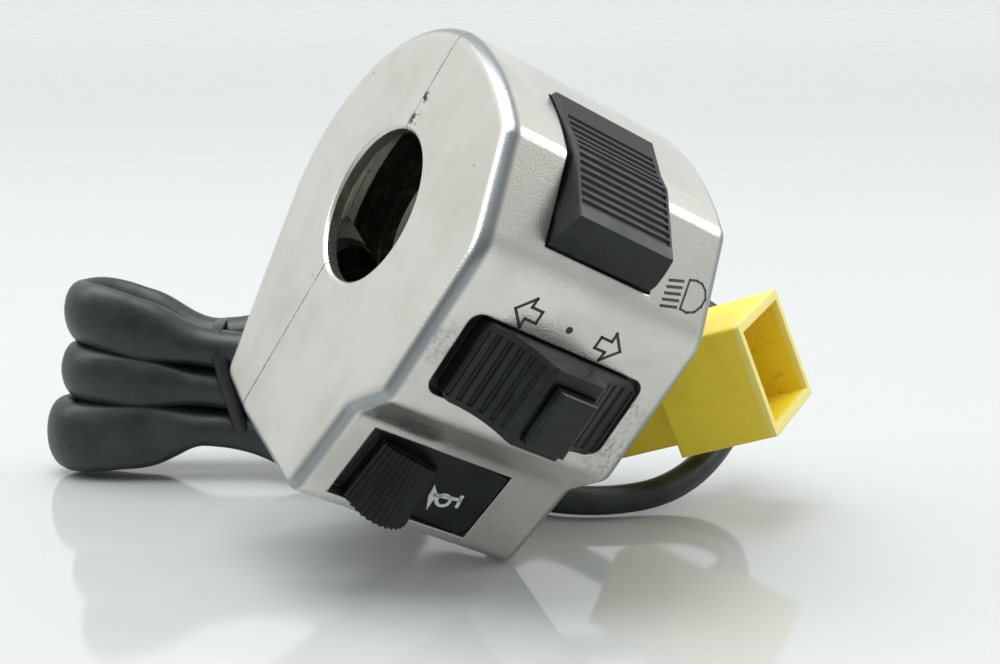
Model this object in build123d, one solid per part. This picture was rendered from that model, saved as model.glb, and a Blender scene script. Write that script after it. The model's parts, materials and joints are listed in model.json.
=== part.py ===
from build123d import *
import math
import os

# Handlebar switch. Millimetres. The housing is modelled in its own frame: X along the handlebar, Y towards
# the rear half, Z up the flat front face, origin on the bar axis at mid width. It is then laid as it lies on
# a bench, tipped by the two angles below, with +Z up.

# Lie of the housing
DIP = 25.87
ROLL = 20.70
TABLE_Z = -43.0

# Handlebar bore and housing shell
BAR_BORE_R = 11.1
BORE_CHAMFER = 0.4
WIDTH = 38.0
WALL = 2.2
END_WALL = 2.0
RIM_FILLET = 2.0
CREST_Z = 26.4
BACK_RADIUS = 26.0
BACK_LEAN = 24.8
BASE_Z = -36.1
RIDGE = (-19.9, 22.3)
FACE_Y = -29.2
FACE_TOP_Z = 9.3
FACE_BOTTOM_Z = -13.4
COVE = (-23.76, -18.95)
HORN_CORNER = (-21.85, -33.8)
RIDGE_ROUND = 3.0
FACE_TOP_ROUND = 8.0
FACE_BOTTOM_ROUND = 2.4
COVE_ROUND = 3.0
HORN_CORNER_ROUND = 2.4
BACK_CORNER_ROUND = 3.0

# Parting of the two halves
PARTING_Y = 2.85
PARTING_TILT = 2.5

# Gaps between pieces
SLIDE_GAP = 0.3
PIN_GAP = 0.05
SEAT_GAP = 0.15

# Housing screws, two M5
SCREW_R = 2.5
SCREW_HEAD_R = 4.2
SCREW_HEAD_H = 2.8
SCREW_BOSS_R = 4.0
SCREW_HOLE_GAP = 0.3
WASHER_R = 4.4
WASHER_T = 0.8
HEAD_POCKET_R = 4.8
POCKET_WALL = 1.4
TOP_SCREW = (0.0, 18.3)
LOW_SCREW = (-7.0, -17.5)
TOP_SCREW_REACH = 6.6
LOW_SCREW_REACH = 10.5
SCREW_SEAT = 9.0
LOW_WEB_T = 2.4
WEB_FRONT = 3.0
WEB_BACK = 4.0

# Ribs in the rear half that clamp the bar
RIB_X = 9.0
RIB_T = 2.0
RIB_LOW_Z = -9.5

# Base screws, M2.5, shared by the three contact bases
BASE_SCREW_R = 1.2
BASE_SCREW_HEAD_R = 2.2
BASE_SCREW_HEAD_H = 1.4
BASE_SCREW_BITE = 3.0
BASE_BOSS_R = 2.2
HEAD_BEVEL_SHARE = 0.25
CROSS_SLOT_SHARE = 1.2

# Dimmer rocker, its pivot and its window
DIMMER_PIVOT = (-17.0, 18.3)
DIMMER_TURN = 35.0
DIMMER_X = -1.0
DIMMER_WINDOW_HALF = 8.8
DIMMER_WINDOW_R = 11.85
ROCKER_TOP_HALF = 7.75
ROCKER_SKIRT_WALL = 1.6
ROCKER_TOP_WALL = 2.0
ROCKER_BASE_Z = -2.2
ROCKER_UPPER = (11.2, 2.3)
ROCKER_BEND_1 = (4.9, 4.1)
ROCKER_BEND_2 = (1.6, 5.6)
ROCKER_LOWER = (-9.7, 6.35)
ROCKER_BEND_ROUND = 4.0
ROCKER_GROOVES = 13
ROCKER_GROOVE_R = 0.42
ROCKER_GROOVE_DEPTH = 0.36
ROCKER_GROOVE_FIRST = 7.3
ROCKER_GROOVE_LAST = -7.2
ROCKER_GROOVE_BORDER = 0.3
STEM_HALF = 2.6
STEM_END_Z = -6.2
PIVOT_PIN_R = 1.0
LUG_T = 2.4
LUG_HALF = 3.0
LUG_LOW_Z = -3.0
DETENT_BALL_R = 1.5
DETENT_TIP_Z = -7.4
DETENT_GAP = 0.1
DETENT_SPRING_TURNS = 3
DIMMER_BASE_TOP_Z = -7.2
DIMMER_BASE_T = 2.4
DIMMER_BASE_HALF_Y = 6.0
DIMMER_BASE_GAP = 0.35
DIMMER_CONTACT_X = 5.2
STUD_R = 0.8
STUD_HEAD_R = 1.5
STUD_HEAD_H = 0.4
STUD_TAIL = 1.0
WIPER_T = 0.4
WIPER_HALF_Y = 0.9

# Turn-signal slider and its slot
SLOT_X = -0.2
SLOT_Z = -4.5
SLOT_LENGTH = 28.5
SLOT_HEIGHT = 12.2
SLOT_ROUND = 1.8
SLIDE_TRAVEL = 1.5
THIN_WALL = 1.2
TRACK_HALF_Z = 7.3
SKIRT_T = 1.4
SKIRT_OVERLAP = 0.9
KNOB_RISE = 7.0
KNOB_END_RISE = 1.4
KNOB_MID = (-6.9, 3.0)
KNOB_CREST = (-4.2, 6.5)
KNOB_TOP_RUN = 0.6
KNOB_GROOVES = 6
KNOB_GROOVE_FIRST = 0.06
KNOB_GROOVE_STEP = 0.16
KNOB_GROOVE_R = 0.36
KNOB_GROOVE_DEPTH = 0.34
KNOB_GROOVE_BORDER = 0.8
CARRIER_HALF_X = 7.5
CARRIER_HALF_Z = 4.8
CARRIER_T = 2.6
BRIDGE_T = 0.4
BRIDGE_HALF_X = 6.0
BRIDGE_HALF_Z = 1.2
TURN_BASE_TOP = 7.2
TURN_BASE_T = 2.0
TURN_BASE_GAP = 1.6
TURN_BASE_HALF_Z = 8.2
TURN_SCREW_INSET = 2.3
TURN_SCREW_Z = 9.9
TURN_CONTACT_X = 5.0

# Cancel button in the middle of the slider
CANCEL_X = 0.3
CANCEL_Z = -0.4
CANCEL_WIDTH = 6.0
CANCEL_HEIGHT = 8.4
CANCEL_RISE = 9.0
CANCEL_FOOT_RISE = 2.6
CANCEL_LEDGE_RISE = 4.9
CANCEL_LEDGE = 0.8
CANCEL_ROUND = 0.6
CANCEL_SPRING_R = 2.0
CANCEL_SPRING_WIRE = 0.22
CANCEL_SPRING_TURNS = 5
CANCEL_SPRING_WELL = 2.5

# Horn button, its window and its hinge
HORN_Z = -26.0
HORN_LEFT = -13.5
HORN_RIGHT = 8.5
HORN_TOP = 5.6
HORN_BOTTOM = -5.5
HORN_SINK = 2.0
HORN_PLATE_T = 1.8
HORN_SKIRT = 4.0
HORN_SKIRT_WALL = 1.3
HORN_LEFT_ROUND = 1.8
HORN_RIGHT_ROUND = 0.8
HORN_LOW_ROUND = 1.8
HORN_WINDOW_GAP = 0.35
HUMP_X = -6.2
HUMP_LOW_HALF = 5.2
HUMP_LOW_RISE = 4.25
HUMP_HIGH_HALF = 4.9
HUMP_HIGH_RISE = 1.2
HUMP_START_BELOW_TOP = 2.2
HUMP_END_LEAN = 20.0
HUMP_END_SKEW = 8.0
HUMP_GROOVES = 15
HUMP_GROOVE_R = 0.3
HUMP_GROOVE_SHARE = 0.95
HORN_PIN = (7.0, 2.9)
HORN_PIN_R = 0.8
HORN_HUB_R = 1.7
HORN_LUG_T = 1.8
HORN_PIN_FOOT = 1.0
HORN_BASE_TOP = 10.0
HORN_BASE_T = 2.0
HORN_BASE_X = (-12.5, 5.6)
HORN_BASE_Z = (-5.2, 10.3)
HORN_SCREW_X = (-7.5, 3.0)
HORN_SCREW_Z = 8.2
HORN_SPRING_AT = (-8.2, 1.9)
HORN_SPRING_R = 1.95
HORN_SPRING_WIRE = 0.25
HORN_SPRING_TURNS = 5
PLUNGER_AT = (-7.5, -2.6)
PLUNGER_R = 1.3
PLUNGER_END = 5.7
LEAF_RUN = (10.0, 5.0, 3.0, -2.0)
LEAF_RISE = 1.8
LEAF_T = 0.4
LEAF_WIDTH = 3.4

# Harness exit through the rear half
EXIT_X = 7.0
EXIT_Z = -19.0
SHEATH_R = 3.4
GROMMET_R = 5.5
GROMMET_NECK_R = 4.1
GROMMET_RIM = 1.5
RELIEF_LENGTH = 8.0
RELIEF_END_R = 4.3
RELIEF_STEP = 0.6
SHEATH_GAP = 0.06
WIRE_R = 1.3
LOOM_SPREAD = 1.7
LOOM_APPROACH = 5.0
LEAD_STRAIGHT = 3.0
ARC_SHARE = 0.45

# Tied hank of the harness: its own axes lie along and across the loops
HANK_AT = (-16.0, 53.0)
HANK_ALONG = (0.863, -0.505)
STRAND_HALF_GAP = 3.75
LOOP_HALF = 8.5
LOOP_TURN = 5.0
LEFT_END = -26.5
RIGHT_END = 27.5
WAIST_HALF = 5.0
SPREAD_AT = 14.0
WAIST_HEIGHTS = (24.0, 16.45, 8.9)
LEFT_HEIGHTS = (26.5, 15.9, 3.6)
RIGHT_HEIGHTS = (18.55, 11.0, 3.45)
TAIL_END = 19.8
TAIL_WAIST_HEIGHT = 7.2
TAIL_DROP = 0.1
TOP_STRAND_SLOPE = 0.12
RIGHT_DIP_SHARE = 0.4
LEAD_JOINS = 9.5
HANK_START = 0.0
TIE_WIDTH = 4.8
TIE_T = 1.1
TIE_GAP = 0.35
TIE_LEAN = -10.0
TIE_SLACK = 2.0
BOOT_LENGTH = 7.2
BOOT_LIP = 0.6

# Connector on the thin lead
LEAD_R = 2.25
MOUTH_AT = (44.6, -11.0, -18.4)
MOUTH_TURN = (-13.1, -16.3, -58.1)
PLUG_LENGTH = 15.5
PLUG_HEIGHT = 17.5
PLUG_DEPTH = 19.8
PLUG_WALL = 1.4
PLUG_ROUND = 0.5
MOUTH_DEPTH = 11.0
REAR_LENGTH = 12.0
REAR_HEIGHT = 12.6
REAR_DEPTH = 12.8
REAR_DROP = 1.2
REAR_CAVITY = 6.0
KEY_RIB = 1.0
BLADE_W = 2.0
BLADE_T = 0.8
BLADE_OUT = 3.5
BLADE_PITCH = 4.4
BLADE_ROOT = 5.0
BLADE_SLOT = 8.0
CONNECTOR_WIRE_R = 0.72
CONNECTOR_WIRE_OFF = 1.05
CONNECTOR_WIRE_LENGTH = 7.0
CONNECTOR_LEAD_STRAIGHT = 7.0

HALF = WIDTH / 2
CAVITY_HALF = HALF - END_WALL
LIE = Rot(0, DIP, 0) * Rot(ROLL, 0, 0)


def yz_face(edges):
    """A face in the YZ plane from edges drawn with (y, z) points."""
    return (Plane.YZ * make_face(edges)).face()


def around_corner(face, y, z, radius):
    """Round the corner of a YZ face that lies nearest the point."""
    corner = min(face.vertices(), key=lambda v: (v.Y - y) ** 2 + (v.Z - z) ** 2)
    return face.fillet_2d(radius, [corner])


def rod(radius, length, place):
    """A round bar from the place's origin along its +Z."""
    return place * Cylinder(radius, length, align=(Align.CENTER, Align.CENTER, Align.MIN))


def slab(x, y, z):
    """A box between the given low and high values of each axis."""
    box = Box(x[1] - x[0], y[1] - y[0], z[1] - z[0], align=(Align.MIN, Align.MIN, Align.MIN))
    return Pos(x[0], y[0], z[0]) * box


def screw(radius, head_r, head_h, length, slot_w):
    """A pan-head screw with a cross slot: shank along -Z from the seat at z = 0."""
    head = rod(head_r, head_h, Pos(0, 0, 0))
    head = chamfer(head.edges().group_by(Axis.Z)[-1], head_h * HEAD_BEVEL_SHARE)
    body = head + rod(radius, length, Rot(180, 0, 0))
    for turn in (0, 90):
        body -= Pos(0, 0, head_h) * Rot(0, 0, turn) * Box(head_r * CROSS_SLOT_SHARE, slot_w, head_h)
    return body


def coil_spring(radius, wire, length, turns):
    """A compression spring along +Z from z = 0, its wire's outside on the two seats."""
    pitch = (length - 2 * wire) / turns
    path = Pos(0, 0, wire) * Helix(pitch, length - 2 * wire, radius - wire)
    profile = Plane(path @ 0, z_dir=path % 0) * Circle(wire)
    return sweep(profile, path=path)


# Frames of the parts, all in the housing's own frame
BACK_CENTRE_Z = CREST_Z - BACK_RADIUS
LEAN = math.radians(BACK_LEAN)
BACK_TANGENT = (BACK_RADIUS * math.cos(LEAN), BACK_CENTRE_Z - BACK_RADIUS * math.sin(LEAN))
BACK_BASE_Y = BACK_TANGENT[0] - (BACK_TANGENT[1] - BASE_Z) * math.tan(LEAN)
EXIT_Y = BACK_TANGENT[0] - (BACK_TANGENT[1] - EXIT_Z) * math.tan(LEAN)
HORN_SLOPE = math.degrees(math.atan2(HORN_CORNER[0] - COVE[0], COVE[1] - HORN_CORNER[1]))
HORN_Y = COVE[0] + (COVE[1] - HORN_Z) * math.tan(math.radians(HORN_SLOPE))
PARTING = Pos(0, PARTING_Y, 0) * Rot(-PARTING_TILT, 0, 0)
DIMMER = Pos(DIMMER_X, *DIMMER_PIVOT) * Rot(DIMMER_TURN, 0, 0)
TURN = Pos(SLOT_X, FACE_Y, SLOT_Z)
HORN = Pos(0, HORN_Y, HORN_Z) * Rot(HORN_SLOPE, 0, 0)
EXIT = Pos(EXIT_X, EXIT_Y, EXIT_Z) * Rot(BACK_LEAN - 90 - 2 * BACK_LEAN, 0, 0)
MOUTH = Location(MOUTH_AT, MOUTH_TURN)
ROCKER_HALF = DIMMER_WINDOW_HALF - SLIDE_GAP
ROCKER_R = DIMMER_WINDOW_R - SLIDE_GAP
STEM_WELL = -PIVOT_PIN_R - PIN_GAP - SLIDE_GAP - STEM_END_Z
BALL_Z = DETENT_TIP_Z + DETENT_BALL_R
KNOB_HALF_X = SLOT_LENGTH / 2 - SLIDE_TRAVEL - SLIDE_GAP
KNOB_HALF_Z = SLOT_HEIGHT / 2 - SLIDE_GAP
SKIRT_TOP = THIN_WALL + SEAT_GAP
SKIRT_HALF_X = CAVITY_HALF - abs(SLOT_X) - SLIDE_TRAVEL - SLIDE_GAP
SKIRT_HALF_Z = SLOT_HEIGHT / 2 + SKIRT_OVERLAP
POCKET_X = CANCEL_WIDTH / 2 + SEAT_GAP
POCKET_Z = CANCEL_HEIGHT / 2 + SEAT_GAP
CARRIER_TOP = SKIRT_TOP + SKIRT_T
DIMMER_SCREW_X = CAVITY_HALF - abs(DIMMER_X) - BASE_BOSS_R - DIMMER_BASE_GAP
TURN_BASE_HALF_X = CAVITY_HALF - abs(SLOT_X) - TURN_BASE_GAP
TURN_SCREW_X = TURN_BASE_HALF_X - TURN_SCREW_INSET
LEAD_START = -WALL - GROMMET_RIM


def shell_face():
    """The housing's section across the bar."""
    crest = (0, CREST_Z)
    top = TangentArc(crest, RIDGE, tangent=(-1, 0))
    back = CenterArc((0, BACK_CENTRE_Z), BACK_RADIUS, 90, -90 - BACK_LEAN)
    flats = Polyline(
        back @ 1,
        (BACK_BASE_Y, BASE_Z),
        (0, BASE_Z),
        HORN_CORNER,
        COVE,
        (FACE_Y, FACE_BOTTOM_Z),
        (FACE_Y, FACE_TOP_Z),
        RIDGE,
    )
    face = yz_face([top, back, flats])
    face = around_corner(face, *RIDGE, RIDGE_ROUND)
    face = around_corner(face, FACE_Y, FACE_TOP_Z, FACE_TOP_ROUND)
    face = around_corner(face, FACE_Y, FACE_BOTTOM_Z, FACE_BOTTOM_ROUND)
    face = around_corner(face, *COVE, COVE_ROUND)
    face = around_corner(face, *HORN_CORNER, HORN_CORNER_ROUND)
    return around_corner(face, BACK_BASE_Y, BASE_Z, BACK_CORNER_ROUND)


def across(face, half):
    """Extrude a YZ face the same distance each way along the bar."""
    return extrude(face, half, dir=(1, 0, 0), both=True)


def inside_face():
    """The cavity's section, one wall inside the shell."""
    return offset(shell_face(), -WALL, kind=Kind.INTERSECTION).face()


def outer_block():
    """The closed outside of both halves, its end edges rounded."""
    block = across(shell_face(), HALF)
    ends = block.faces().filter_by(Axis.X)
    return fillet(ends.edges(), RIM_FILLET)


def bar_bore():
    """The handlebar's bore through everything, with its small chamfers."""
    along = Rot(0, 90, 0)
    bore = along * Cylinder(BAR_BORE_R, WIDTH + 2)
    for side in (-1, 1):
        mouth = Pos(0, 0, -BORE_CHAMFER / 2) * Cone(BAR_BORE_R, BAR_BORE_R + BORE_CHAMFER, BORE_CHAMFER)
        bore += Pos(side * HALF, 0, 0) * Rot(0, 90 * side, 0) * mouth
    return bore


def front_side(solid):
    """Keep what lies in front of the parting plane."""
    reach = 3 * WIDTH
    return solid & PARTING * slab((-reach, reach), (-reach, 0), (-reach, reach))


def rear_side(solid):
    """Keep what lies behind the parting plane."""
    reach = 3 * WIDTH
    return solid & PARTING * slab((-reach, reach), (0, reach), (-reach, reach))


def screw_place(at):
    """A housing screw's axis: origin on the parting plane, +Z out of the rear half."""
    return PARTING * Pos(at[0], 0, at[1]) * Rot(-90, 0, 0)


def rocker_top():
    """Points of the rocker's ribbed top, up the chord first."""
    return [ROCKER_UPPER, ROCKER_BEND_1, ROCKER_BEND_2, ROCKER_LOWER]


def rocker_section(end_radius, drop, base_z):
    """The rocker's section inside its end radius, its top lowered by the drop."""
    points = [(y, z - drop) for y, z in rocker_top()]
    left, right = points[-1], points[0]
    far = ROCKER_R + 2
    fall = (points[1][1] - right[1]) / (right[0] - points[1][0])
    outline = Polyline(
        (-far, base_z),
        (-far, left[1]),
        left,
        points[2],
        points[1],
        (far, right[1] - (far - right[0]) * fall),
        (far, base_z),
        close=True,
    )
    face = yz_face([outline])
    face = around_corner(face, *points[1], ROCKER_BEND_ROUND)
    face = around_corner(face, *points[2], ROCKER_BEND_ROUND)
    return face & (Plane.YZ * Circle(end_radius))


def rocker_height(y):
    """Height of the rocker's top at a place along the chord."""
    points = rocker_top()
    for high, low in zip(points, points[1:]):
        if y >= low[0]:
            return low[1] + (high[1] - low[1]) * (y - low[0]) / (high[0] - low[0])
    return points[-1][1]


def dimmer_rocker():
    """The ribbed rocker with its skirt, hub and detent stem."""
    block = across(rocker_section(ROCKER_R, 0, ROCKER_BASE_Z), ROCKER_HALF)
    wall = ROCKER_SKIRT_WALL
    hollow = rocker_section(ROCKER_R - wall, ROCKER_TOP_WALL, ROCKER_BASE_Z - wall)
    block -= across(hollow, ROCKER_HALF - wall)
    draft = Plane.XZ * make_face(
        Polyline(
            (-ROCKER_HALF, ROCKER_BASE_Z),
            (-ROCKER_HALF, ROCKER_UPPER[1]),
            (-ROCKER_TOP_HALF, ROCKER_LOWER[1]),
            (ROCKER_TOP_HALF, ROCKER_LOWER[1]),
            (ROCKER_HALF, ROCKER_UPPER[1]),
            (ROCKER_HALF, ROCKER_BASE_Z),
            close=True,
        )
    )
    block &= extrude(draft, 2 * ROCKER_R, both=True)
    stem = (-STEM_HALF, STEM_HALF)
    block += slab(stem, stem, (STEM_END_Z, ROCKER_BEND_2[1] - ROCKER_TOP_WALL))
    step = (ROCKER_GROOVE_FIRST - ROCKER_GROOVE_LAST) / (ROCKER_GROOVES - 1)
    length = 2 * (ROCKER_TOP_HALF - ROCKER_GROOVE_BORDER)
    for number in range(ROCKER_GROOVES):
        y = ROCKER_GROOVE_FIRST - number * step
        z = rocker_height(y) + ROCKER_GROOVE_R - ROCKER_GROOVE_DEPTH
        block -= Pos(0, y, z) * Rot(0, 90, 0) * Cylinder(ROCKER_GROOVE_R, length)
    block -= Rot(0, 90, 0) * Cylinder(PIVOT_PIN_R + PIN_GAP, 4 * ROCKER_HALF)
    block -= rod(DETENT_BALL_R + DETENT_GAP, STEM_WELL, Pos(0, 0, STEM_END_Z))
    return DIMMER * block


def dimmer_pivot_pin():
    """The rocker's pivot, held by a lug at each side of the window."""
    length = 2 * (DIMMER_WINDOW_HALF + LUG_T)
    return DIMMER * Rot(0, 90, 0) * Cylinder(PIVOT_PIN_R, length)


def dimmer_detent():
    """The detent ball and the short spring above it, both inside the stem."""
    ball = Pos(0, 0, BALL_Z) * Sphere(DETENT_BALL_R)
    seat = BALL_Z + DETENT_BALL_R
    length = STEM_END_Z + STEM_WELL - seat
    spring = Pos(0, 0, seat) * coil_spring(DETENT_BALL_R, CANCEL_SPRING_WIRE, length, DETENT_SPRING_TURNS)
    return DIMMER * ball, DIMMER * spring


def dimmer_wiper():
    """The sprung brass strip under the stem, with a hole for the ball."""
    top = STEM_END_Z
    reach = DIMMER_CONTACT_X + STUD_R
    strip = slab((-reach, reach), (-WIPER_HALF_Y, WIPER_HALF_Y), (top - WIPER_T, top))
    strip += rod(STEM_HALF, WIPER_T, Pos(0, 0, top - WIPER_T))
    return DIMMER * (strip - rod(DETENT_BALL_R + DETENT_GAP, 4 * WIPER_T, Pos(0, 0, top - 2 * WIPER_T)))


def dimmer_contact_base():
    """The moulded plate under the rocker, hollowed along the ball's arc."""
    top = DIMMER_BASE_TOP_Z
    half_x = DIMMER_SCREW_X + BASE_BOSS_R
    plate = slab((-half_x, half_x), (-BASE_BOSS_R, BASE_BOSS_R), (top - DIMMER_BASE_T, top))
    middle = DIMMER_WINDOW_HALF
    plate += slab((-middle, middle), (-DIMMER_BASE_HALF_Y, DIMMER_BASE_HALF_Y), (top - DIMMER_BASE_T, top))
    plate -= Rot(0, 90, 0) * Cylinder(DETENT_GAP - DETENT_TIP_Z, 2 * (DETENT_BALL_R + DETENT_GAP))
    for x in (-DIMMER_SCREW_X, DIMMER_SCREW_X):
        plate -= rod(BASE_SCREW_R + SEAT_GAP, 2 * DIMMER_BASE_T, Pos(x, 0, top - 1.5 * DIMMER_BASE_T))
    for x in (-DIMMER_CONTACT_X, DIMMER_CONTACT_X):
        plate -= rod(STUD_R, 2 * DIMMER_BASE_T, Pos(x, 0, top - 1.5 * DIMMER_BASE_T))
    return DIMMER * plate


def stud(base_t):
    """A contact stud through a base: its head stands on the base at z = 0, its tail shows below."""
    body = rod(STUD_HEAD_R, STUD_HEAD_H, Pos(0, 0, 0))
    return body + rod(STUD_R, base_t + STUD_TAIL, Rot(180, 0, 0))


def dimmer_contacts():
    """The two studs that the wiper bridges."""
    places = [Pos(x, 0, DIMMER_BASE_TOP_Z) for x in (-DIMMER_CONTACT_X, DIMMER_CONTACT_X)]
    return Compound([DIMMER * place * stud(DIMMER_BASE_T) for place in places])


def base_screw_set(frame, places, base_t):
    """Screws through a contact base into its bosses: +Z of each place points away from the boss."""
    length = base_t + BASE_SCREW_BITE
    shape = screw(BASE_SCREW_R, BASE_SCREW_HEAD_R, BASE_SCREW_HEAD_H, length, BASE_SCREW_R / 3)
    return Compound([frame * place * shape for place in places])


def dimmer_screw_places():
    """Seats of the dimmer base's screws, heads under the base."""
    low = DIMMER_BASE_TOP_Z - DIMMER_BASE_T
    return [Pos(x, 0, low) * Rot(180, 0, 0) for x in (-DIMMER_SCREW_X, DIMMER_SCREW_X)]


def turn_screw_places():
    """Seats of the turn base's four screws."""
    low = TURN_BASE_TOP + TURN_BASE_T
    spots = [(x, z) for x in (-TURN_SCREW_X, TURN_SCREW_X) for z in (-TURN_SCREW_Z, TURN_SCREW_Z)]
    return [Pos(x, low, z) * Rot(-90, 0, 0) for x, z in spots]


def horn_screw_places():
    """Seats of the horn base's two screws."""
    low = HORN_BASE_TOP + HORN_BASE_T
    return [Pos(x, low, HORN_SCREW_Z) * Rot(-90, 0, 0) for x in HORN_SCREW_X]


def slot_prism(gap, depth):
    """The turn slot's outline with rounded corners, from outside the face to a depth."""
    outline = Plane.XZ * RectangleRounded(SLOT_LENGTH - 2 * gap, SLOT_HEIGHT - 2 * gap, SLOT_ROUND)
    return extrude(outline, depth, dir=(0, 1, 0)) + extrude(outline, 2 * WALL, dir=(0, -1, 0))


def horn_window():
    """The horn button's window, deeper than the wall."""
    gap = HORN_WINDOW_GAP
    return slab((HORN_LEFT - gap, HORN_RIGHT + gap), (-WALL, 2 * WALL), (HORN_BOTTOM - gap, HORN_TOP + gap))


def dimmer_lugs():
    """Pin lugs and base bosses beside the dimmer window, up into the wall."""
    top = ROCKER_BEND_1[1]
    body = None
    for side in (-1, 1):
        x = sorted((side * DIMMER_WINDOW_HALF, side * (DIMMER_WINDOW_HALF + LUG_T)))
        lug = slab(x, (-LUG_HALF, LUG_HALF), (LUG_LOW_Z, top))
        lug += rod(BASE_BOSS_R, top - DIMMER_BASE_TOP_Z, Pos(side * DIMMER_SCREW_X, 0, DIMMER_BASE_TOP_Z))
        body = lug if body is None else body + lug
    return DIMMER * body


def front_bosses():
    """Bosses of the turn base and the horn base, and pin lugs of the horn button."""
    body = dimmer_lugs()
    for x in (-TURN_SCREW_X, TURN_SCREW_X):
        for z in (-TURN_SCREW_Z, TURN_SCREW_Z):
            body += TURN * rod(BASE_BOSS_R, TURN_BASE_TOP - THIN_WALL, Pos(x, THIN_WALL, z) * Rot(-90, 0, 0))
    for x in HORN_SCREW_X:
        body += HORN * rod(BASE_BOSS_R - SEAT_GAP, HORN_BASE_TOP, Pos(x, 0, HORN_SCREW_Z) * Rot(-90, 0, 0))
    for low, high in horn_lug_spans():
        x = (HORN_PIN[0] - HORN_HUB_R, HORN_PIN[0] + HORN_HUB_R)
        body += HORN * slab(x, (0, HORN_PIN[1] + HORN_HUB_R), (low, high))
    return body


def horn_lug_spans():
    """Where the horn pin's lugs stand above and below the window."""
    top = HORN_TOP + HORN_WINDOW_GAP
    bottom = HORN_BOTTOM - HORN_WINDOW_GAP
    return [(top, top + HORN_LUG_T), (bottom - HORN_PIN_FOOT, bottom)]


def housing_screw_boss(at, reach, back):
    """A solid boss about a housing screw, from the reach in front of the parting to the back of it."""
    return rod(SCREW_BOSS_R, reach + back, screw_place(at) * Pos(0, 0, -reach))


def switch_housing():
    """The front half: shell, bosses, lugs, window, slot and screw bosses."""
    cavity = across(inside_face(), CAVITY_HALF)
    shell = outer_block() - cavity
    extras = front_bosses()
    top_boss = housing_screw_boss(TOP_SCREW, TOP_SCREW_REACH, 1)
    low_boss = housing_screw_boss(LOW_SCREW, LOW_SCREW_REACH, 1)
    top_x = (TOP_SCREW[0] - SCREW_BOSS_R, TOP_SCREW[0] + SCREW_BOSS_R)
    top_web = slab(top_x, (WEB_FRONT - TOP_SCREW_REACH, WEB_BACK), (TOP_SCREW[1], CREST_Z))
    low_x = (LOW_SCREW[0] - LOW_WEB_T / 2, LOW_SCREW[0] + LOW_WEB_T / 2)
    low_web = slab(low_x, (WEB_FRONT - LOW_SCREW_REACH, WEB_BACK), (BASE_Z, LOW_SCREW[1]))
    extras = extras + top_boss + low_boss + top_web + low_web
    extras &= across(shell_face(), CAVITY_HALF + END_WALL / 2)
    solid = front_side(shell + extras) - bar_bore()
    window = Rot(0, 90, 0) * Cylinder(DIMMER_WINDOW_R, 2 * DIMMER_WINDOW_HALF)
    solid -= DIMMER * window
    solid -= TURN * slot_prism(0, 2 * WALL)
    track_z = (SLOT_Z - TRACK_HALF_Z, SLOT_Z + TRACK_HALF_Z)
    track = slab((-CAVITY_HALF, CAVITY_HALF), (THIN_WALL, TURN_BASE_TOP), track_z)
    solid -= Pos(0, FACE_Y, 0) * track
    solid -= HORN * horn_window()
    solid -= horn_pivot_pin()
    solid -= DIMMER * Rot(0, 90, 0) * Cylinder(PIVOT_PIN_R, 2 * (DIMMER_WINDOW_HALF + LUG_T))
    for frame, places, base_t in base_screw_groups():
        for place in places:
            solid -= frame * rod(BASE_SCREW_R, base_t + BASE_SCREW_BITE, place * Rot(180, 0, 0))
    for at, reach in ((TOP_SCREW, TOP_SCREW_REACH), (LOW_SCREW, LOW_SCREW_REACH)):
        solid -= rod(SCREW_R, reach - WALL / 2 + 1, screw_place(at) * Pos(0, 0, -reach + WALL / 2))
    return solid


def base_screw_groups():
    """Each contact base's frame, screw places and thickness."""
    return [
        (DIMMER, dimmer_screw_places(), DIMMER_BASE_T),
        (TURN, turn_screw_places(), TURN_BASE_T),
        (HORN, horn_screw_places(), HORN_BASE_T),
    ]


def clamp_housing():
    """The rear half: shell, clamping ribs, screw bosses with head pockets, and the harness hole."""
    cavity = across(inside_face(), CAVITY_HALF)
    shell = outer_block() - cavity
    full = across(shell_face(), CAVITY_HALF)
    ribs = None
    for side in (-1, 1):
        middle = side * RIB_X
        rib = slab((middle - RIB_T / 2, middle + RIB_T / 2), (0, 2 * BACK_RADIUS), (RIB_LOW_Z, CREST_Z))
        ribs = rib if ribs is None else ribs + rib
    bosses = None
    for at in (TOP_SCREW, LOW_SCREW):
        well = rod(HEAD_POCKET_R + POCKET_WALL, BACK_RADIUS, screw_place(at) * Pos(0, 0, SCREW_SEAT - WALL))
        boss = housing_screw_boss(at, 1, SCREW_SEAT) + well
        bosses = boss if bosses is None else bosses + boss
    solid = rear_side(shell + ((ribs + bosses) & full)) - bar_bore()
    for at in (TOP_SCREW, LOW_SCREW):
        place = screw_place(at)
        solid -= rod(SCREW_R + SCREW_HOLE_GAP, 2 * SCREW_SEAT, place * Pos(0, 0, -1))
        solid -= rod(HEAD_POCKET_R, BACK_RADIUS, place * Pos(0, 0, SCREW_SEAT))
    return solid - EXIT * Cylinder(GROMMET_NECK_R, 6 * WALL)


def housing_screws():
    """Two long pan-head screws from the rear half into the front bosses."""
    pieces = []
    for at, reach in ((TOP_SCREW, TOP_SCREW_REACH), (LOW_SCREW, LOW_SCREW_REACH)):
        length = SCREW_SEAT + WASHER_T + reach - WALL
        shape = screw(SCREW_R, SCREW_HEAD_R, SCREW_HEAD_H, length, SCREW_R / 3)
        pieces.append(screw_place(at) * Pos(0, 0, SCREW_SEAT + WASHER_T) * shape)
    return Compound(pieces)


def screw_washers():
    """A plain washer under each housing screw's head."""
    ring = rod(WASHER_R, WASHER_T, Pos(0, 0, 0)) - Cylinder(SCREW_R + SEAT_GAP, 4 * WASHER_T)
    return Compound([screw_place(at) * Pos(0, 0, SCREW_SEAT) * ring for at in (TOP_SCREW, LOW_SCREW)])


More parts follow.
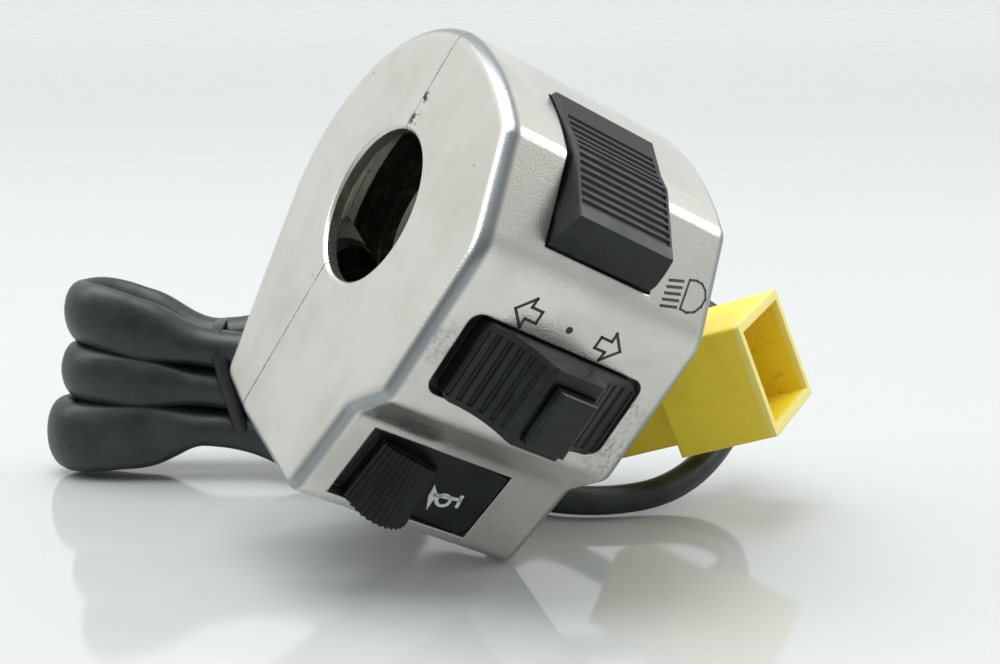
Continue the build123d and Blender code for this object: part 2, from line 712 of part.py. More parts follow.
def knob_ramp():
    """The arc of the knob's left ramp, from its end to the crest, in (x, rise)."""
    return ThreePointArc((-KNOB_HALF_X, KNOB_END_RISE), KNOB_MID, KNOB_CREST)


def turn_slider():
    """The ribbed knob with its skirt and the cancel button's pocket."""
    left = knob_ramp()
    right = mirror(left, about=Plane.YZ)
    half = KNOB_HALF_X
    base = Polyline((-half, KNOB_END_RISE), (-half, -SKIRT_TOP), (half, -SKIRT_TOP), (half, KNOB_END_RISE))
    crest_x, crest_rise = KNOB_CREST
    top_x = crest_x + KNOB_TOP_RUN
    top = Polyline(KNOB_CREST, (top_x, KNOB_RISE), (-top_x, KNOB_RISE), (-crest_x, crest_rise))
    section = make_face([left, top, right, base])
    knob = Rot(180, 0, 0) * extrude(section, KNOB_HALF_Z, both=True)
    knob = fillet(knob.edges().filter_by(Axis.Y), SLOT_ROUND - SLIDE_GAP)
    skirt_z = (-SKIRT_HALF_Z, SKIRT_HALF_Z)
    knob += slab((-SKIRT_HALF_X, SKIRT_HALF_X), (SKIRT_TOP, SKIRT_TOP + SKIRT_T), skirt_z)
    for number in range(KNOB_GROOVES):
        share = KNOB_GROOVE_FIRST + number * KNOB_GROOVE_STEP
        spot = left @ share
        slope = left % share
        out = KNOB_GROOVE_R - KNOB_GROOVE_DEPTH
        x = spot.X - slope.Y * out
        rise = spot.Y + slope.X * out
        groove = Cylinder(KNOB_GROOVE_R, 2 * (KNOB_HALF_Z - KNOB_GROOVE_BORDER))
        for side in (-1, 1):
            knob -= Pos(-side * x, -rise, 0) * groove
    pocket = slab((-POCKET_X, POCKET_X), (-CANCEL_RISE, 2 * WALL), (-POCKET_Z, POCKET_Z))
    wide_x = POCKET_X + CANCEL_LEDGE
    pocket += slab((-wide_x, wide_x), (-CANCEL_LEDGE_RISE, 2 * WALL), (-POCKET_Z, POCKET_Z))
    return TURN * (knob - Pos(CANCEL_X, 0, CANCEL_Z) * pocket)


def turn_carrier():
    """The insulating block under the slider: it closes the pocket and holds the bridge contact."""
    y = (CARRIER_TOP, CARRIER_TOP + CARRIER_T)
    block = slab((-CARRIER_HALF_X, CARRIER_HALF_X), y, (-CARRIER_HALF_Z, CARRIER_HALF_Z))
    plug_z = POCKET_Z - SEAT_GAP
    plug = slab((-POCKET_X, POCKET_X), (CARRIER_TOP - SKIRT_T, CARRIER_TOP), (-plug_z, plug_z))
    return TURN * (block + Pos(CANCEL_X, 0, CANCEL_Z) * plug)


def turn_bridge_contact():
    """The brass bridge on the carrier, a flat strip over the studs."""
    y = CARRIER_TOP + CARRIER_T
    strip = slab((-BRIDGE_HALF_X, BRIDGE_HALF_X), (y, y + BRIDGE_T), (-BRIDGE_HALF_Z, BRIDGE_HALF_Z))
    return TURN * strip


def turn_contact_base():
    """The moulded plate behind the slider, on four bosses."""
    y = (TURN_BASE_TOP, TURN_BASE_TOP + TURN_BASE_T)
    plate = slab((-TURN_BASE_HALF_X, TURN_BASE_HALF_X), y, (-TURN_BASE_HALF_Z, TURN_BASE_HALF_Z))
    for x in (-TURN_SCREW_X, TURN_SCREW_X):
        for z in (-TURN_SCREW_Z, TURN_SCREW_Z):
            plate += rod(BASE_BOSS_R, TURN_BASE_T, Pos(x, TURN_BASE_TOP, z) * Rot(-90, 0, 0))
    for place in turn_screw_places():
        plate -= place * Cylinder(BASE_SCREW_R + SEAT_GAP, 4 * TURN_BASE_T)
    for x in turn_stud_places():
        plate -= Pos(x, TURN_BASE_TOP, 0) * Rot(-90, 0, 0) * Cylinder(STUD_R, 4 * TURN_BASE_T)
    return TURN * plate


def turn_stud_places():
    """Left, common and right studs."""
    return (-TURN_CONTACT_X, 0, TURN_CONTACT_X)


def turn_contacts():
    """Three studs with their heads towards the bridge and brass strips on the far side of the base."""
    low = TURN_BASE_TOP + TURN_BASE_T
    tail = (-STUD_HEAD_R, TURN_BASE_HALF_Z - BRIDGE_T)
    pieces = []
    for x in turn_stud_places():
        body = Pos(x, TURN_BASE_TOP, 0) * Rot(90, 0, 0) * stud(TURN_BASE_T)
        body += slab((x - STUD_HEAD_R, x + STUD_HEAD_R), (low, low + BRIDGE_T), tail)
        pieces.append(TURN * body)
    return Compound(pieces)


def cancel_button():
    """The square push button with its ledges and its spring well."""
    y = (-CANCEL_RISE, -CANCEL_FOOT_RISE)
    half_x, half_z = CANCEL_WIDTH / 2, CANCEL_HEIGHT / 2
    button = slab((-half_x, half_x), y, (-half_z, half_z))
    front = button.faces().sort_by(Axis.Y)[0]
    button = fillet(front.edges(), CANCEL_ROUND)
    foot_x = half_x + CANCEL_LEDGE - SEAT_GAP
    foot = (-CANCEL_LEDGE_RISE + SEAT_GAP, -CANCEL_FOOT_RISE)
    button += slab((-foot_x, foot_x), foot, (-half_z, half_z))
    well = Pos(0, -CANCEL_FOOT_RISE, 0) * Rot(90, 0, 0)
    button -= rod(CANCEL_SPRING_R + SEAT_GAP, CANCEL_SPRING_WELL, well)
    return TURN * Pos(CANCEL_X, 0, CANCEL_Z) * button


def cancel_spring():
    """The cancel button's return spring, between the carrier and the button's well."""
    floor = CARRIER_TOP - SKIRT_T
    length = floor + CANCEL_FOOT_RISE + CANCEL_SPRING_WELL
    shape = coil_spring(CANCEL_SPRING_R, CANCEL_SPRING_WIRE, length, CANCEL_SPRING_TURNS)
    return TURN * Pos(CANCEL_X, floor, CANCEL_Z) * Rot(90, 0, 0) * shape


def arc_radius(half, rise):
    """The radius of an arc from its half width and its rise."""
    return (half**2 + rise**2) / (2 * rise)


def hump_point(share, half, rise):
    """A point on one end arc of the hump, a share of the arc to one side."""
    radius = arc_radius(half, rise)
    angle = share * math.asin(half / radius)
    return (HUMP_X + radius * math.sin(angle), radius - rise - radius * math.cos(angle))


def hump_end(half, rise, z):
    """One end of the hump: its arc, with straight sides down into the plate."""
    left, crest, right = [hump_point(share, half, rise) for share in (-1, 0, 1)]
    depth = HORN_SINK + HORN_PLATE_T / 2
    sides = Polyline(right, (right[0], depth), (left[0], depth), left)
    return (Pos(0, 0, z) * make_face([ThreePointArc(left, crest, right), sides])).face()


def hump():
    """The ribbed finger hump: it grows flatter upwards, and is cut on the slant at its top."""
    low = (HUMP_LOW_HALF, HUMP_LOW_RISE)
    high = (HUMP_HIGH_HALF, HUMP_HIGH_RISE)
    body = loft([hump_end(*low, HORN_BOTTOM), hump_end(*high, HORN_TOP)], ruled=True)
    for number in range(HUMP_GROOVES):
        share = HUMP_GROOVE_SHARE * (2 * number / (HUMP_GROOVES - 1) - 1)
        foot = Vector(*hump_point(share, *low), HORN_BOTTOM)
        run = Vector(*hump_point(share, *high), HORN_TOP) - foot
        middle = Plane(foot + run / 2, z_dir=run)
        body -= middle * Cylinder(HUMP_GROOVE_R, 2 * run.length)
    far = HORN_RIGHT - HORN_LEFT
    top = Pos(HUMP_X, 0, HORN_TOP - HUMP_START_BELOW_TOP) * Rot(-HUMP_END_LEAN, HUMP_END_SKEW, 0)
    return body & (top * slab((-far, far), (-far, far), (-far, 0)))


def horn_button():
    """The tilted plate with skirt, hump, hinge hub and plunger, one moulding."""
    plate = slab((HORN_LEFT, HORN_RIGHT), (0, HORN_SKIRT), (HORN_BOTTOM, HORN_TOP))
    corners = plate.edges().filter_by(Axis.Y).group_by(Axis.X)
    plate = fillet(corners[0], HORN_LEFT_ROUND)
    high = plate.edges().filter_by(Axis.Y).group_by(Axis.X)[-1].sort_by(Axis.Z)[-1]
    plate = fillet(high, HORN_RIGHT_ROUND)
    low = plate.edges().filter_by(Axis.Y).group_by(Axis.X)[-1].sort_by(Axis.Z)[0]
    plate = fillet(low, HORN_LOW_ROUND)
    wall = HORN_SKIRT_WALL
    hollow_z = (HORN_BOTTOM + wall, HORN_TOP - wall)
    hollow = slab((HORN_LEFT + wall, HORN_RIGHT - wall), (HORN_PLATE_T, 2 * HORN_SKIRT), hollow_z)
    tip = math.degrees(math.asin(HORN_SINK / (HORN_RIGHT - HORN_LEFT)))
    tipped = Pos(HORN_RIGHT, 0, 0) * Rot(0, 0, -tip) * Pos(-HORN_RIGHT, 0, 0)
    body = tipped * (plate - hollow)
    body += hump()
    span = HORN_TOP - HORN_BOTTOM
    middle = (HORN_TOP + HORN_BOTTOM) / 2
    hub = Pos(*HORN_PIN, middle) * Cylinder(HORN_HUB_R, span)
    body += hub
    plunger = Pos(PLUNGER_AT[0], HORN_SINK, PLUNGER_AT[1]) * Rot(-90, 0, 0)
    body += rod(PLUNGER_R, PLUNGER_END - HORN_SINK, plunger)
    body -= Pos(*HORN_PIN, middle) * Cylinder(HORN_PIN_R + PIN_GAP, 2 * span)
    return HORN * body


def horn_pivot_pin():
    """The horn button's hinge pin, from lug to lug."""
    spans = horn_lug_spans()
    high, low = spans[0][1], spans[1][0]
    return HORN * rod(HORN_PIN_R, high - low, Pos(*HORN_PIN, low))


def plate_back(x):
    """How deep the back of the tilted plate lies at a place along it."""
    return HORN_PLATE_T + (HORN_RIGHT - x) * HORN_SINK / (HORN_RIGHT - HORN_LEFT)


def horn_spring():
    """The horn button's return spring, from its base to the plate."""
    x, z = HORN_SPRING_AT
    deepest = plate_back(x - HORN_SPRING_R) + SEAT_GAP
    shape = coil_spring(HORN_SPRING_R, HORN_SPRING_WIRE, HORN_BASE_TOP - deepest, HORN_SPRING_TURNS)
    return HORN * Pos(x, HORN_BASE_TOP, z) * Rot(90, 0, 0) * shape


def horn_contact_strip():
    """The brass leaf that the plunger pushes, its foot on the base."""
    x, z = PLUNGER_AT
    foot = (x + LEAF_RUN[0], HORN_BASE_TOP)
    bend = (x + LEAF_RUN[1], HORN_BASE_TOP)
    rise = (x + LEAF_RUN[2], HORN_BASE_TOP - LEAF_RISE)
    tip = (x + LEAF_RUN[3], HORN_BASE_TOP - LEAF_RISE)
    low = Polyline(foot, bend, rise, tip)
    outline = Polyline(*[(px, py - LEAF_T) for px, py in (tip, rise, bend, foot)])
    closing = [low, Line(tip, (tip[0], tip[1] - LEAF_T)), outline, Line((foot[0], foot[1] - LEAF_T), foot)]
    leaf = extrude(make_face(closing), LEAF_WIDTH / 2, both=True)
    return HORN * Pos(0, 0, z) * leaf


def horn_contacts():
    """The fixed stud under the leaf's tip."""
    x, z = PLUNGER_AT
    return HORN * Pos(x, HORN_BASE_TOP, z) * Rot(90, 0, 0) * stud(HORN_BASE_T)


def horn_contact_base():
    """The moulded plate behind the horn button."""
    plate = slab(HORN_BASE_X, (HORN_BASE_TOP, HORN_BASE_TOP + HORN_BASE_T), HORN_BASE_Z)
    for place in horn_screw_places():
        plate -= place * Cylinder(BASE_SCREW_R + SEAT_GAP, 4 * HORN_BASE_T)
    x, z = PLUNGER_AT
    return HORN * (plate - Pos(x, HORN_BASE_TOP, z) * Rot(90, 0, 0) * Cylinder(STUD_R, 4 * HORN_BASE_T))


def harness_grommet():
    """The rubber grommet in the rear half, with its tapered strain relief."""
    inner = rod(GROMMET_R, GROMMET_RIM, Pos(0, 0, -WALL - GROMMET_RIM))
    neck = rod(GROMMET_NECK_R, WALL, Pos(0, 0, -WALL))
    outer = rod(GROMMET_R, GROMMET_RIM, Pos(0, 0, 0))
    relief = Cone(GROMMET_R - RELIEF_STEP, RELIEF_END_R, RELIEF_LENGTH)
    body = inner + neck + outer + Pos(0, 0, GROMMET_RIM + RELIEF_LENGTH / 2) * relief
    return EXIT * (body - Cylinder(SHEATH_R + SHEATH_GAP, 8 * RELIEF_LENGTH))


def corner_radii(points):
    """Each corner's largest radius: a share of its shorter run over the tangent of half its turn."""
    radii = []
    for before, here, after in zip(points, points[1:], points[2:]):
        a, b = Vector(*here) - Vector(*before), Vector(*after) - Vector(*here)
        turn = math.radians(a.get_angle(b))
        radii.append(ARC_SHARE * min(a.length, b.length) / math.tan(turn / 2))
    return radii


def tube(name, points, radius):
    """A round tube along straight runs joined by tangent arcs; prints its length and volume share."""
    radii = corner_radii(points)
    path = FilletPolyline(*points, radius=radii)
    start = Vector(*points[1]) - Vector(*points[0])
    body = sweep(Plane(points[0], z_dir=start) * Circle(radius), path=path)
    share = body.volume / (math.pi * radius * radius * path.length)
    print(name, "length", round(path.length, 1), "share", round(share, 4), "radius", round(min(radii), 1))
    return body, path


def local(*points):
    """Points given in the housing's own frame, laid on the bench."""
    return [tuple((LIE * Pos(*point)).position) for point in points]


def placed(frame, *point):
    """A point of one of the housing's frames, in the housing's own frame."""
    return tuple((frame * Pos(*point)).position)


def loom_end(number):
    """Where a loom ends on the harness lead's inner face."""
    angle = math.radians(90 + 120 * number)
    return (LOOM_SPREAD * math.cos(angle), LOOM_SPREAD * math.sin(angle), LEAD_START)


def loom(name, start, lead_in, middle, number):
    """One taped bundle of wires from a base to the harness lead, through the housing's lower cavity."""
    end = loom_end(number)
    approach = placed(EXIT, end[0], end[1], LEAD_START - LOOM_APPROACH)
    points = local(start, lead_in, *middle, approach, placed(EXIT, *end))
    return tube(name, points, WIRE_R)[0]


def dimmer_wires():
    """From the dimmer base, down in front of the bar and under it."""
    start = placed(DIMMER, 7.0, -3.0, DIMMER_BASE_TOP_Z - DIMMER_BASE_T)
    lead_in = placed(DIMMER, 7.0, -3.0, DIMMER_BASE_TOP_Z - DIMMER_BASE_T - 2.8)
    middle = [(6.2, -15.4, -1.0), (6.2, -13.4, -9.5), (5.8, -5.0, -16.0)]
    return loom("dimmer_wires", start, lead_in, middle, 1)


def turn_wires():
    """From the turn base, under the bar."""
    start = placed(TURN, 10.5, TURN_BASE_TOP + TURN_BASE_T, -5.0)
    lead_in = placed(TURN, 10.5, TURN_BASE_TOP + TURN_BASE_T + 4.0, -5.0)
    middle = [(10.4, -9.0, -15.6), (9.8, 0.0, -18.4)]
    return loom("turn_wires", start, lead_in, middle, 2)


def horn_wires():
    """From the horn base, along the bottom of the housing."""
    start = placed(HORN, 3.5, HORN_BASE_TOP + HORN_BASE_T, -2.0)
    lead_in = placed(HORN, 3.5, HORN_BASE_TOP + HORN_BASE_T + 4.0, -2.0)
    middle = [(4.6, 2.0, -25.4)]
    return loom("horn_wires", start, lead_in, middle, 0)


def hank_point(along, across_, height):
    """A point of the hank: along and across its loops, and its height over the table."""
    ux, uy = HANK_ALONG
    x = HANK_AT[0] + along * ux - across_ * uy
    y = HANK_AT[1] + along * uy + across_ * ux
    return (x, y, TABLE_Z + height)


def left_turn(level):
    """The left end of one loop, from its far strand to its near strand."""
    height = LEFT_HEIGHTS[level]
    inner = LEFT_END + LOOP_TURN
    side = LOOP_HALF - LOOP_TURN
    points = [(-WAIST_HALF, STRAND_HALF_GAP, WAIST_HEIGHTS[level])]
    points.append((-SPREAD_AT, LOOP_HALF, (WAIST_HEIGHTS[level] + height) / 2))
    points += [(inner, LOOP_HALF, height), (LEFT_END, side, height), (LEFT_END, -side, height)]
    points.append((inner, -LOOP_HALF, height))
    points.append((-SPREAD_AT, -LOOP_HALF, (WAIST_HEIGHTS[level] + height) / 2))
    points.append((-WAIST_HALF, -STRAND_HALF_GAP, WAIST_HEIGHTS[level]))
    return points


def right_turn(level):
    """The right end between two loops, from one near strand down to the next far strand."""
    height = RIGHT_HEIGHTS[level]
    inner = RIGHT_END - LOOP_TURN
    side = LOOP_HALF - LOOP_TURN
    high, low = WAIST_HEIGHTS[level], WAIST_HEIGHTS[level + 1]
    points = [(WAIST_HALF, -STRAND_HALF_GAP, high - (high - height) * WAIST_HALF / inner)]
    points.append((SPREAD_AT, -LOOP_HALF, high - (high - height) * SPREAD_AT / inner))
    points += [(inner, -LOOP_HALF, height), (RIGHT_END, -side, height), (RIGHT_END, side, height)]
    points.append((inner, LOOP_HALF, height))
    points.append((SPREAD_AT, LOOP_HALF, height - (height - low) * RIGHT_DIP_SHARE))
    points.append((WAIST_HALF, STRAND_HALF_GAP, low))
    return points


def top_strand_height(along):
    """Height of the straight top strand that runs in from the lead."""
    return WAIST_HEIGHTS[0] + TOP_STRAND_SLOPE * (along + WAIST_HALF)


def hank_route():
    """The whole hank, from the top strand at the waist to the tail on the table."""
    route = [(HANK_START, STRAND_HALF_GAP, top_strand_height(HANK_START))]
    for level in range(len(WAIST_HEIGHTS)):
        route += left_turn(level)
        if level + 1 < len(WAIST_HEIGHTS):
            route += right_turn(level)
    route.append((WAIST_HALF, -STRAND_HALF_GAP, TAIL_WAIST_HEIGHT))
    route.append((SPREAD_AT, -LOOP_HALF, RIGHT_HEIGHTS[-1] + TAIL_DROP))
    route.append((TAIL_END, -LOOP_HALF, RIGHT_HEIGHTS[-1]))
    return [hank_point(*point) for point in route]


def self_gap(path, radius, skip):
    """The least gap of a tube to itself, on points along its path."""
    count = 500
    spots = [path @ (number / count) for number in range(count + 1)]
    apart = int(count * skip / path.length)
    least = min(
        (spots[i] - spots[j]).length for i in range(count + 1) for j in range(i + apart, count + 1)
    )
    return least - 2 * radius


def harness_hank():
    """The tied loops of the harness as one unbroken tube."""
    body, path = tube("harness_hank", hank_route(), SHEATH_R)
    print("harness_hank least gap to itself", round(self_gap(path, SHEATH_R, 8 * SHEATH_R), 2))
    return body


def harness_lead():
    """The thick lead from the grommet to the top of the hank."""
    start = tuple((LIE * EXIT * Pos(0, 0, LEAD_START)).position)
    out = tuple((LIE * EXIT * Pos(0, 0, RELIEF_LENGTH + GROMMET_RIM + LEAD_STRAIGHT)).position)
    before = hank_point(LEAD_JOINS, STRAND_HALF_GAP, top_strand_height(LEAD_JOINS))
    waist = hank_point(HANK_START, STRAND_HALF_GAP, top_strand_height(HANK_START))
    points = [start, out, (-0.4, 43.8, -14.6), before, waist]
    return tube("harness_lead", points, SHEATH_R)[0]


def hank_tie():
    """The flat strap that draws the hank in at its waist."""
    middle = (WAIST_HEIGHTS[0] + WAIST_HEIGHTS[-1]) / 2
    half_w = STRAND_HALF_GAP + SHEATH_R + TIE_GAP
    half_h = (WAIST_HEIGHTS[0] - WAIST_HEIGHTS[-1]) / 2 + SHEATH_R + TIE_GAP + TIE_SLACK
    outer = RectangleRounded(2 * (half_w + TIE_T), 2 * (half_h + TIE_T), SHEATH_R)
    inner = RectangleRounded(2 * half_w, 2 * half_h, SHEATH_R - TIE_T)
    band = extrude(outer - inner, TIE_WIDTH / 2, both=True)
    turn = math.degrees(math.atan2(HANK_ALONG[1], HANK_ALONG[0]))
    place = Pos(*hank_point(0, 0, middle)) * Rot(0, 0, turn) * Rot(0, TIE_LEAN, 0) * Rot(90, 90, 0)
    return place * band


def tail_point(beyond):
    """A point in line with the hank's tail, a distance past its end."""
    last, end = [Vector(*point) for point in hank_route()[-2:]]
    return tuple(end + (end - last).normalized() * beyond)


def branch_boot():
    """The short rubber boot where the thick sheath becomes the thin lead."""
    place = Plane(tail_point(0), z_dir=Vector(*tail_point(BOOT_LENGTH)) - Vector(*tail_point(0)))
    cone = Cone(SHEATH_R, LEAD_R + BOOT_LIP, BOOT_LENGTH, align=(Align.CENTER, Align.CENTER, Align.MIN))
    return place * cone


def rear_face_x():
    """The connector's rear face along its axis, counted from the mouth."""
    return -PLUG_LENGTH - REAR_LENGTH


def connector_point(x, y, z):
    """A point of the connector's frame on the bench."""
    return tuple((MOUTH * Pos(x, y, z)).position)


def connector_lead():
    """The thin lead from the boot, round under the connector and back into its rear."""
    end_x = rear_face_x() - CONNECTOR_WIRE_LENGTH
    points = [
        tail_point(BOOT_LENGTH),
        tail_point(BOOT_LENGTH + 6.5),
        (13.6, 22.0, -40.3),
        (13.4, 13.4, -40.5),
        (17.0, 5.8, -40.4),
        (24.2, 1.4, -40.5),
        (32.8, 0.2, -40.0),
        (41.7, 1.8, -37.2),
        (50.0, 5.6, -32.1),
        (53.8, 8.0, -25.1),
        (52.1, 11.4, -17.8),
        (45.8, 14.6, -13.2),
        (37.8, 19.0, -12.4),
        (29.8, 22.4, -12.4),
        (22.4, 25.2, -14.4),
        (16.8, 26.6, -19.0),
        (14.2, 26.2, -24.8),
        (15.2, 23.6, -30.2),
        connector_point(end_x - CONNECTOR_LEAD_STRAIGHT, 0, -REAR_DROP),
        connector_point(end_x, 0, -REAR_DROP),
    ]
    return tube("connector_lead", points, LEAD_R)[0]


def wire_spots():
    """The four wires' places about the connector's axis."""
    off = CONNECTOR_WIRE_OFF
    return [(y, z) for y in (-off, off) for z in (-off, off)]


def connector_wires():
    """Four bare-coloured wires between the sheath's end and the connector's rear cavity."""
    pieces = []
    reach = REAR_CAVITY - PLUG_WALL / 2
    for y, z in wire_spots():
        start = Pos(rear_face_x() - CONNECTOR_WIRE_LENGTH, y, z - REAR_DROP) * Rot(0, 90, 0)
        pieces.append(MOUTH * rod(CONNECTOR_WIRE_R, CONNECTOR_WIRE_LENGTH + reach, start))
    return Compound(pieces)


def connector_housing():
    """The connector's moulding: a wide mouth with a key rib, and a narrower rear section."""
    half_y, half_z = PLUG_DEPTH / 2, PLUG_HEIGHT / 2
    main = slab((-PLUG_LENGTH, 0), (-half_y, half_y), (-half_z, half_z))
    main = fillet(main.edges().filter_by(Axis.X), PLUG_ROUND)
    rear_z = (-REAR_DROP - REAR_HEIGHT / 2, -REAR_DROP + REAR_HEIGHT / 2)
    rear = slab((rear_face_x(), -PLUG_LENGTH), (-REAR_DEPTH / 2, REAR_DEPTH / 2), rear_z)
    body = main + rear
    wall = PLUG_WALL
    body -= slab((-MOUTH_DEPTH, wall), (wall - half_y, half_y - wall), (wall - half_z, half_z - wall))
    back = (rear_face_x() - wall, rear_face_x() + REAR_CAVITY)
    body -= slab(back, (wall - REAR_DEPTH / 2, REAR_DEPTH / 2 - wall), (rear_z[0] + wall, rear_z[1] - wall))
    rib_y = (wall - half_y, wall - half_y + KEY_RIB)
    body += slab((-MOUTH_DEPTH, -KEY_RIB), rib_y, (2 * KEY_RIB, 3 * KEY_RIB))
    for y, z in blade_spots():
        body -= blade(y, z, -MOUTH_DEPTH - BLADE_SLOT, 0)
    return MOUTH * body


def blade_spots():
    """The four terminals' places in the mouth."""
    half = BLADE_PITCH / 2
    return [(y, z) for y in (-half, half) for z in (-half, half)]


def blade(y, z, back, front):
    """A flat terminal's bar between two places along the connector."""
    return slab((back, front), (y - BLADE_T / 2, y + BLADE_T / 2), (z - BLADE_W / 2, z + BLADE_W / 2))


def connector_terminals():
    """Four tinned blades that stand in the mouth."""
    pieces = []
    for y, z in blade_spots():
        pieces.append(MOUTH * blade(y, z, -MOUTH_DEPTH - BLADE_ROOT, -MOUTH_DEPTH + BLADE_OUT))
    return Compound(pieces)


def write(name, shape):
    """Write one piece as parts/NAME.step."""
    shape.label = name
    export_step(shape, "parts/" + name + ".step")


def main():
    os.makedirs("parts", exist_ok=True)
    ball, detent_spring = dimmer_detent()
    laid = {
        "switch_housing": switch_housing(),
        "clamp_housing": clamp_housing(),
        "housing_screws": housing_screws(),
        "screw_washers": screw_washers(),
        "dimmer_rocker": dimmer_rocker(),
        "dimmer_pivot_pin": dimmer_pivot_pin(),
        "dimmer_detent_ball": ball,
        "dimmer_detent_spring": detent_spring,
        "dimmer_wiper": dimmer_wiper(),
        "dimmer_contact_base": dimmer_contact_base(),
        "dimmer_contacts": dimmer_contacts(),
        "dimmer_base_screws": base_screw_set(*base_screw_groups()[0]),
        "turn_slider": turn_slider(),
        "turn_carrier": turn_carrier(),
        "turn_bridge_contact": turn_bridge_contact(),
        "turn_contact_base": turn_contact_base(),
        "turn_contacts": turn_contacts(),
        "turn_base_screws": base_screw_set(*base_screw_groups()[1]),
        "cancel_button": cancel_button(),
        "cancel_spring": cancel_spring(),
        "horn_button": horn_button(),
        "horn_pivot_pin": horn_pivot_pin(),
        "horn_spring": horn_spring(),
        "horn_contact_strip": horn_contact_strip(),
        "horn_contacts": horn_contacts(),
        "horn_contact_base": horn_contact_base(),
        "horn_base_screws": base_screw_set(*base_screw_groups()[2]),
        "harness_grommet": harness_grommet(),
    }
    for name, shape in laid.items():
        write(name, LIE * shape)
    write("dimmer_wires", dimmer_wires())
    write("turn_wires", turn_wires())
    write("horn_wires", horn_wires())
    write("harness_lead", harness_lead())
    write("harness_hank", harness_hank())
    write("hank_tie", hank_tie())
    write("branch_boot", branch_boot())
    write("connector_lead", connector_lead())
    write("connector_wires", connector_wires())
    write("connector_housing", connector_housing())
    write("connector_terminals", connector_terminals())


main()
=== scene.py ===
"""Handlebar switch: looks, marks, harness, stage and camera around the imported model."""

import json
import math

import bmesh
import bpy
from bpy.props import FloatProperty, FloatVectorProperty, PointerProperty
from mathutils import Matrix, Vector, noise


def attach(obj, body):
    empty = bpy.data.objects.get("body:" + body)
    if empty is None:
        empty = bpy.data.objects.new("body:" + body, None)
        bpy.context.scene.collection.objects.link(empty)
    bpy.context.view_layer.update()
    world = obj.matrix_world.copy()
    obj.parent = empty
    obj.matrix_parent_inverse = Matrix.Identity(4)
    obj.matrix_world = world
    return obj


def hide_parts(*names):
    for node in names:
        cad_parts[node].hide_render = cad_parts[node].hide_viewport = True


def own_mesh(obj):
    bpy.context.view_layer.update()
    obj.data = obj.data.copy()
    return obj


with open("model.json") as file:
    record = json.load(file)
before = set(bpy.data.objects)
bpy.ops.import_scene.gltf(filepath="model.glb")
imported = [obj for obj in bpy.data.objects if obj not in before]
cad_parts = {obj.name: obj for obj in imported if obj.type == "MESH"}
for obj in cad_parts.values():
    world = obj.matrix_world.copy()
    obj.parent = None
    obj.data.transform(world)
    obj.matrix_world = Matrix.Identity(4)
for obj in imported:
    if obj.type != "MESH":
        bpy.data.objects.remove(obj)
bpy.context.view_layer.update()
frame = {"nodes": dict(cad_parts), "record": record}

bl_info = {
    "name": "Handlebar Switch",
    "version": (1, 0, 0),
    "blender": (4, 5, 0),
    "location": "View3D > Sidebar > Handlebar Switch",
    "description": "Dresses the packed handlebar switch with finishes, marks and its tied harness",
    "category": "Object",
}

MM = 0.001
SIDE_HALF = 19.0  # half the housing's width


def linear(code):
    """A '#rrggbb' sRGB colour as linear red, green, blue and alpha."""
    channels = [int(code[place:place + 2], 16) / 255 for place in (1, 3, 5)]
    return [c / 12.92 if c <= 0.04045 else ((c + 0.055) / 1.055) ** 2.4 for c in channels] + [1.0]


def colour(name, description, code):
    """A colour setting with its default given as a hex code."""
    return FloatVectorProperty(
        name=name, description=description, default=linear(code), size=4, min=0, max=1, subtype="COLOR"
    )


def size(name, description, millimetres):
    """A length setting, its default given in millimetres."""
    return FloatProperty(name=name, description=description, default=millimetres * MM, min=0, unit="LENGTH")


def share(name, description, amount):
    """A setting from 0 to 1."""
    return FloatProperty(name=name, description=description, default=amount, min=0, max=1)


# How the housing lies on the bench, and the frames of its faces
DIP = math.radians(25.87)
ROLL = math.radians(20.70)
LIE = Matrix.Rotation(DIP, 4, "Y") @ Matrix.Rotation(ROLL, 4, "X")
FACE_UP = Matrix.Rotation(math.radians(90), 4, "X")  # a flat mark's own +Z becomes a face's outward -Y
TABLE_Z = -43.0
FACE_Y = -29.2
FACE_TOP_Z = 9.3
FACET_TURN = math.radians(35.6)
SLIDER_ORIGIN = (-0.2, -29.2, -4.5)
SLIDER_SIDE_Z = 5.8
HORN_SLOPE = math.radians(7.329)
HORN_ORIGIN = (0, -22.853, -26.0)
HORN_RIGHT = 8.5
HORN_TIP = math.radians(5.216)
EXIT_ORIGIN = (7.0, 19.677, -19.0)
EXIT_TURN = math.radians(-114.8)


def at(x, y, z):
    """A shift given in millimetres."""
    return Matrix.Translation(Vector((x, y, z)) * MM)


def turned(degrees, axis):
    """A turn about an axis, given in degrees."""
    return Matrix.Rotation(math.radians(degrees), 4, axis)


FACE = LIE @ at(0, FACE_Y, 0) @ FACE_UP
FACET = LIE @ at(0, FACE_Y, FACE_TOP_Z) @ Matrix.Rotation(-FACET_TURN, 4, "X") @ FACE_UP
SLIDER_SIDE = LIE @ at(*SLIDER_ORIGIN) @ at(0, 0, SLIDER_SIDE_Z)
HORN = LIE @ at(*HORN_ORIGIN) @ Matrix.Rotation(HORN_SLOPE, 4, "X")
HORN_TIPPED = at(HORN_RIGHT, 0, 0) @ Matrix.Rotation(-HORN_TIP, 4, "Z") @ at(-HORN_RIGHT, 0, 0)
HORN_PLATE = HORN @ HORN_TIPPED @ FACE_UP
EXIT = LIE @ at(*EXIT_ORIGIN) @ Matrix.Rotation(EXIT_TURN, 4, "X")

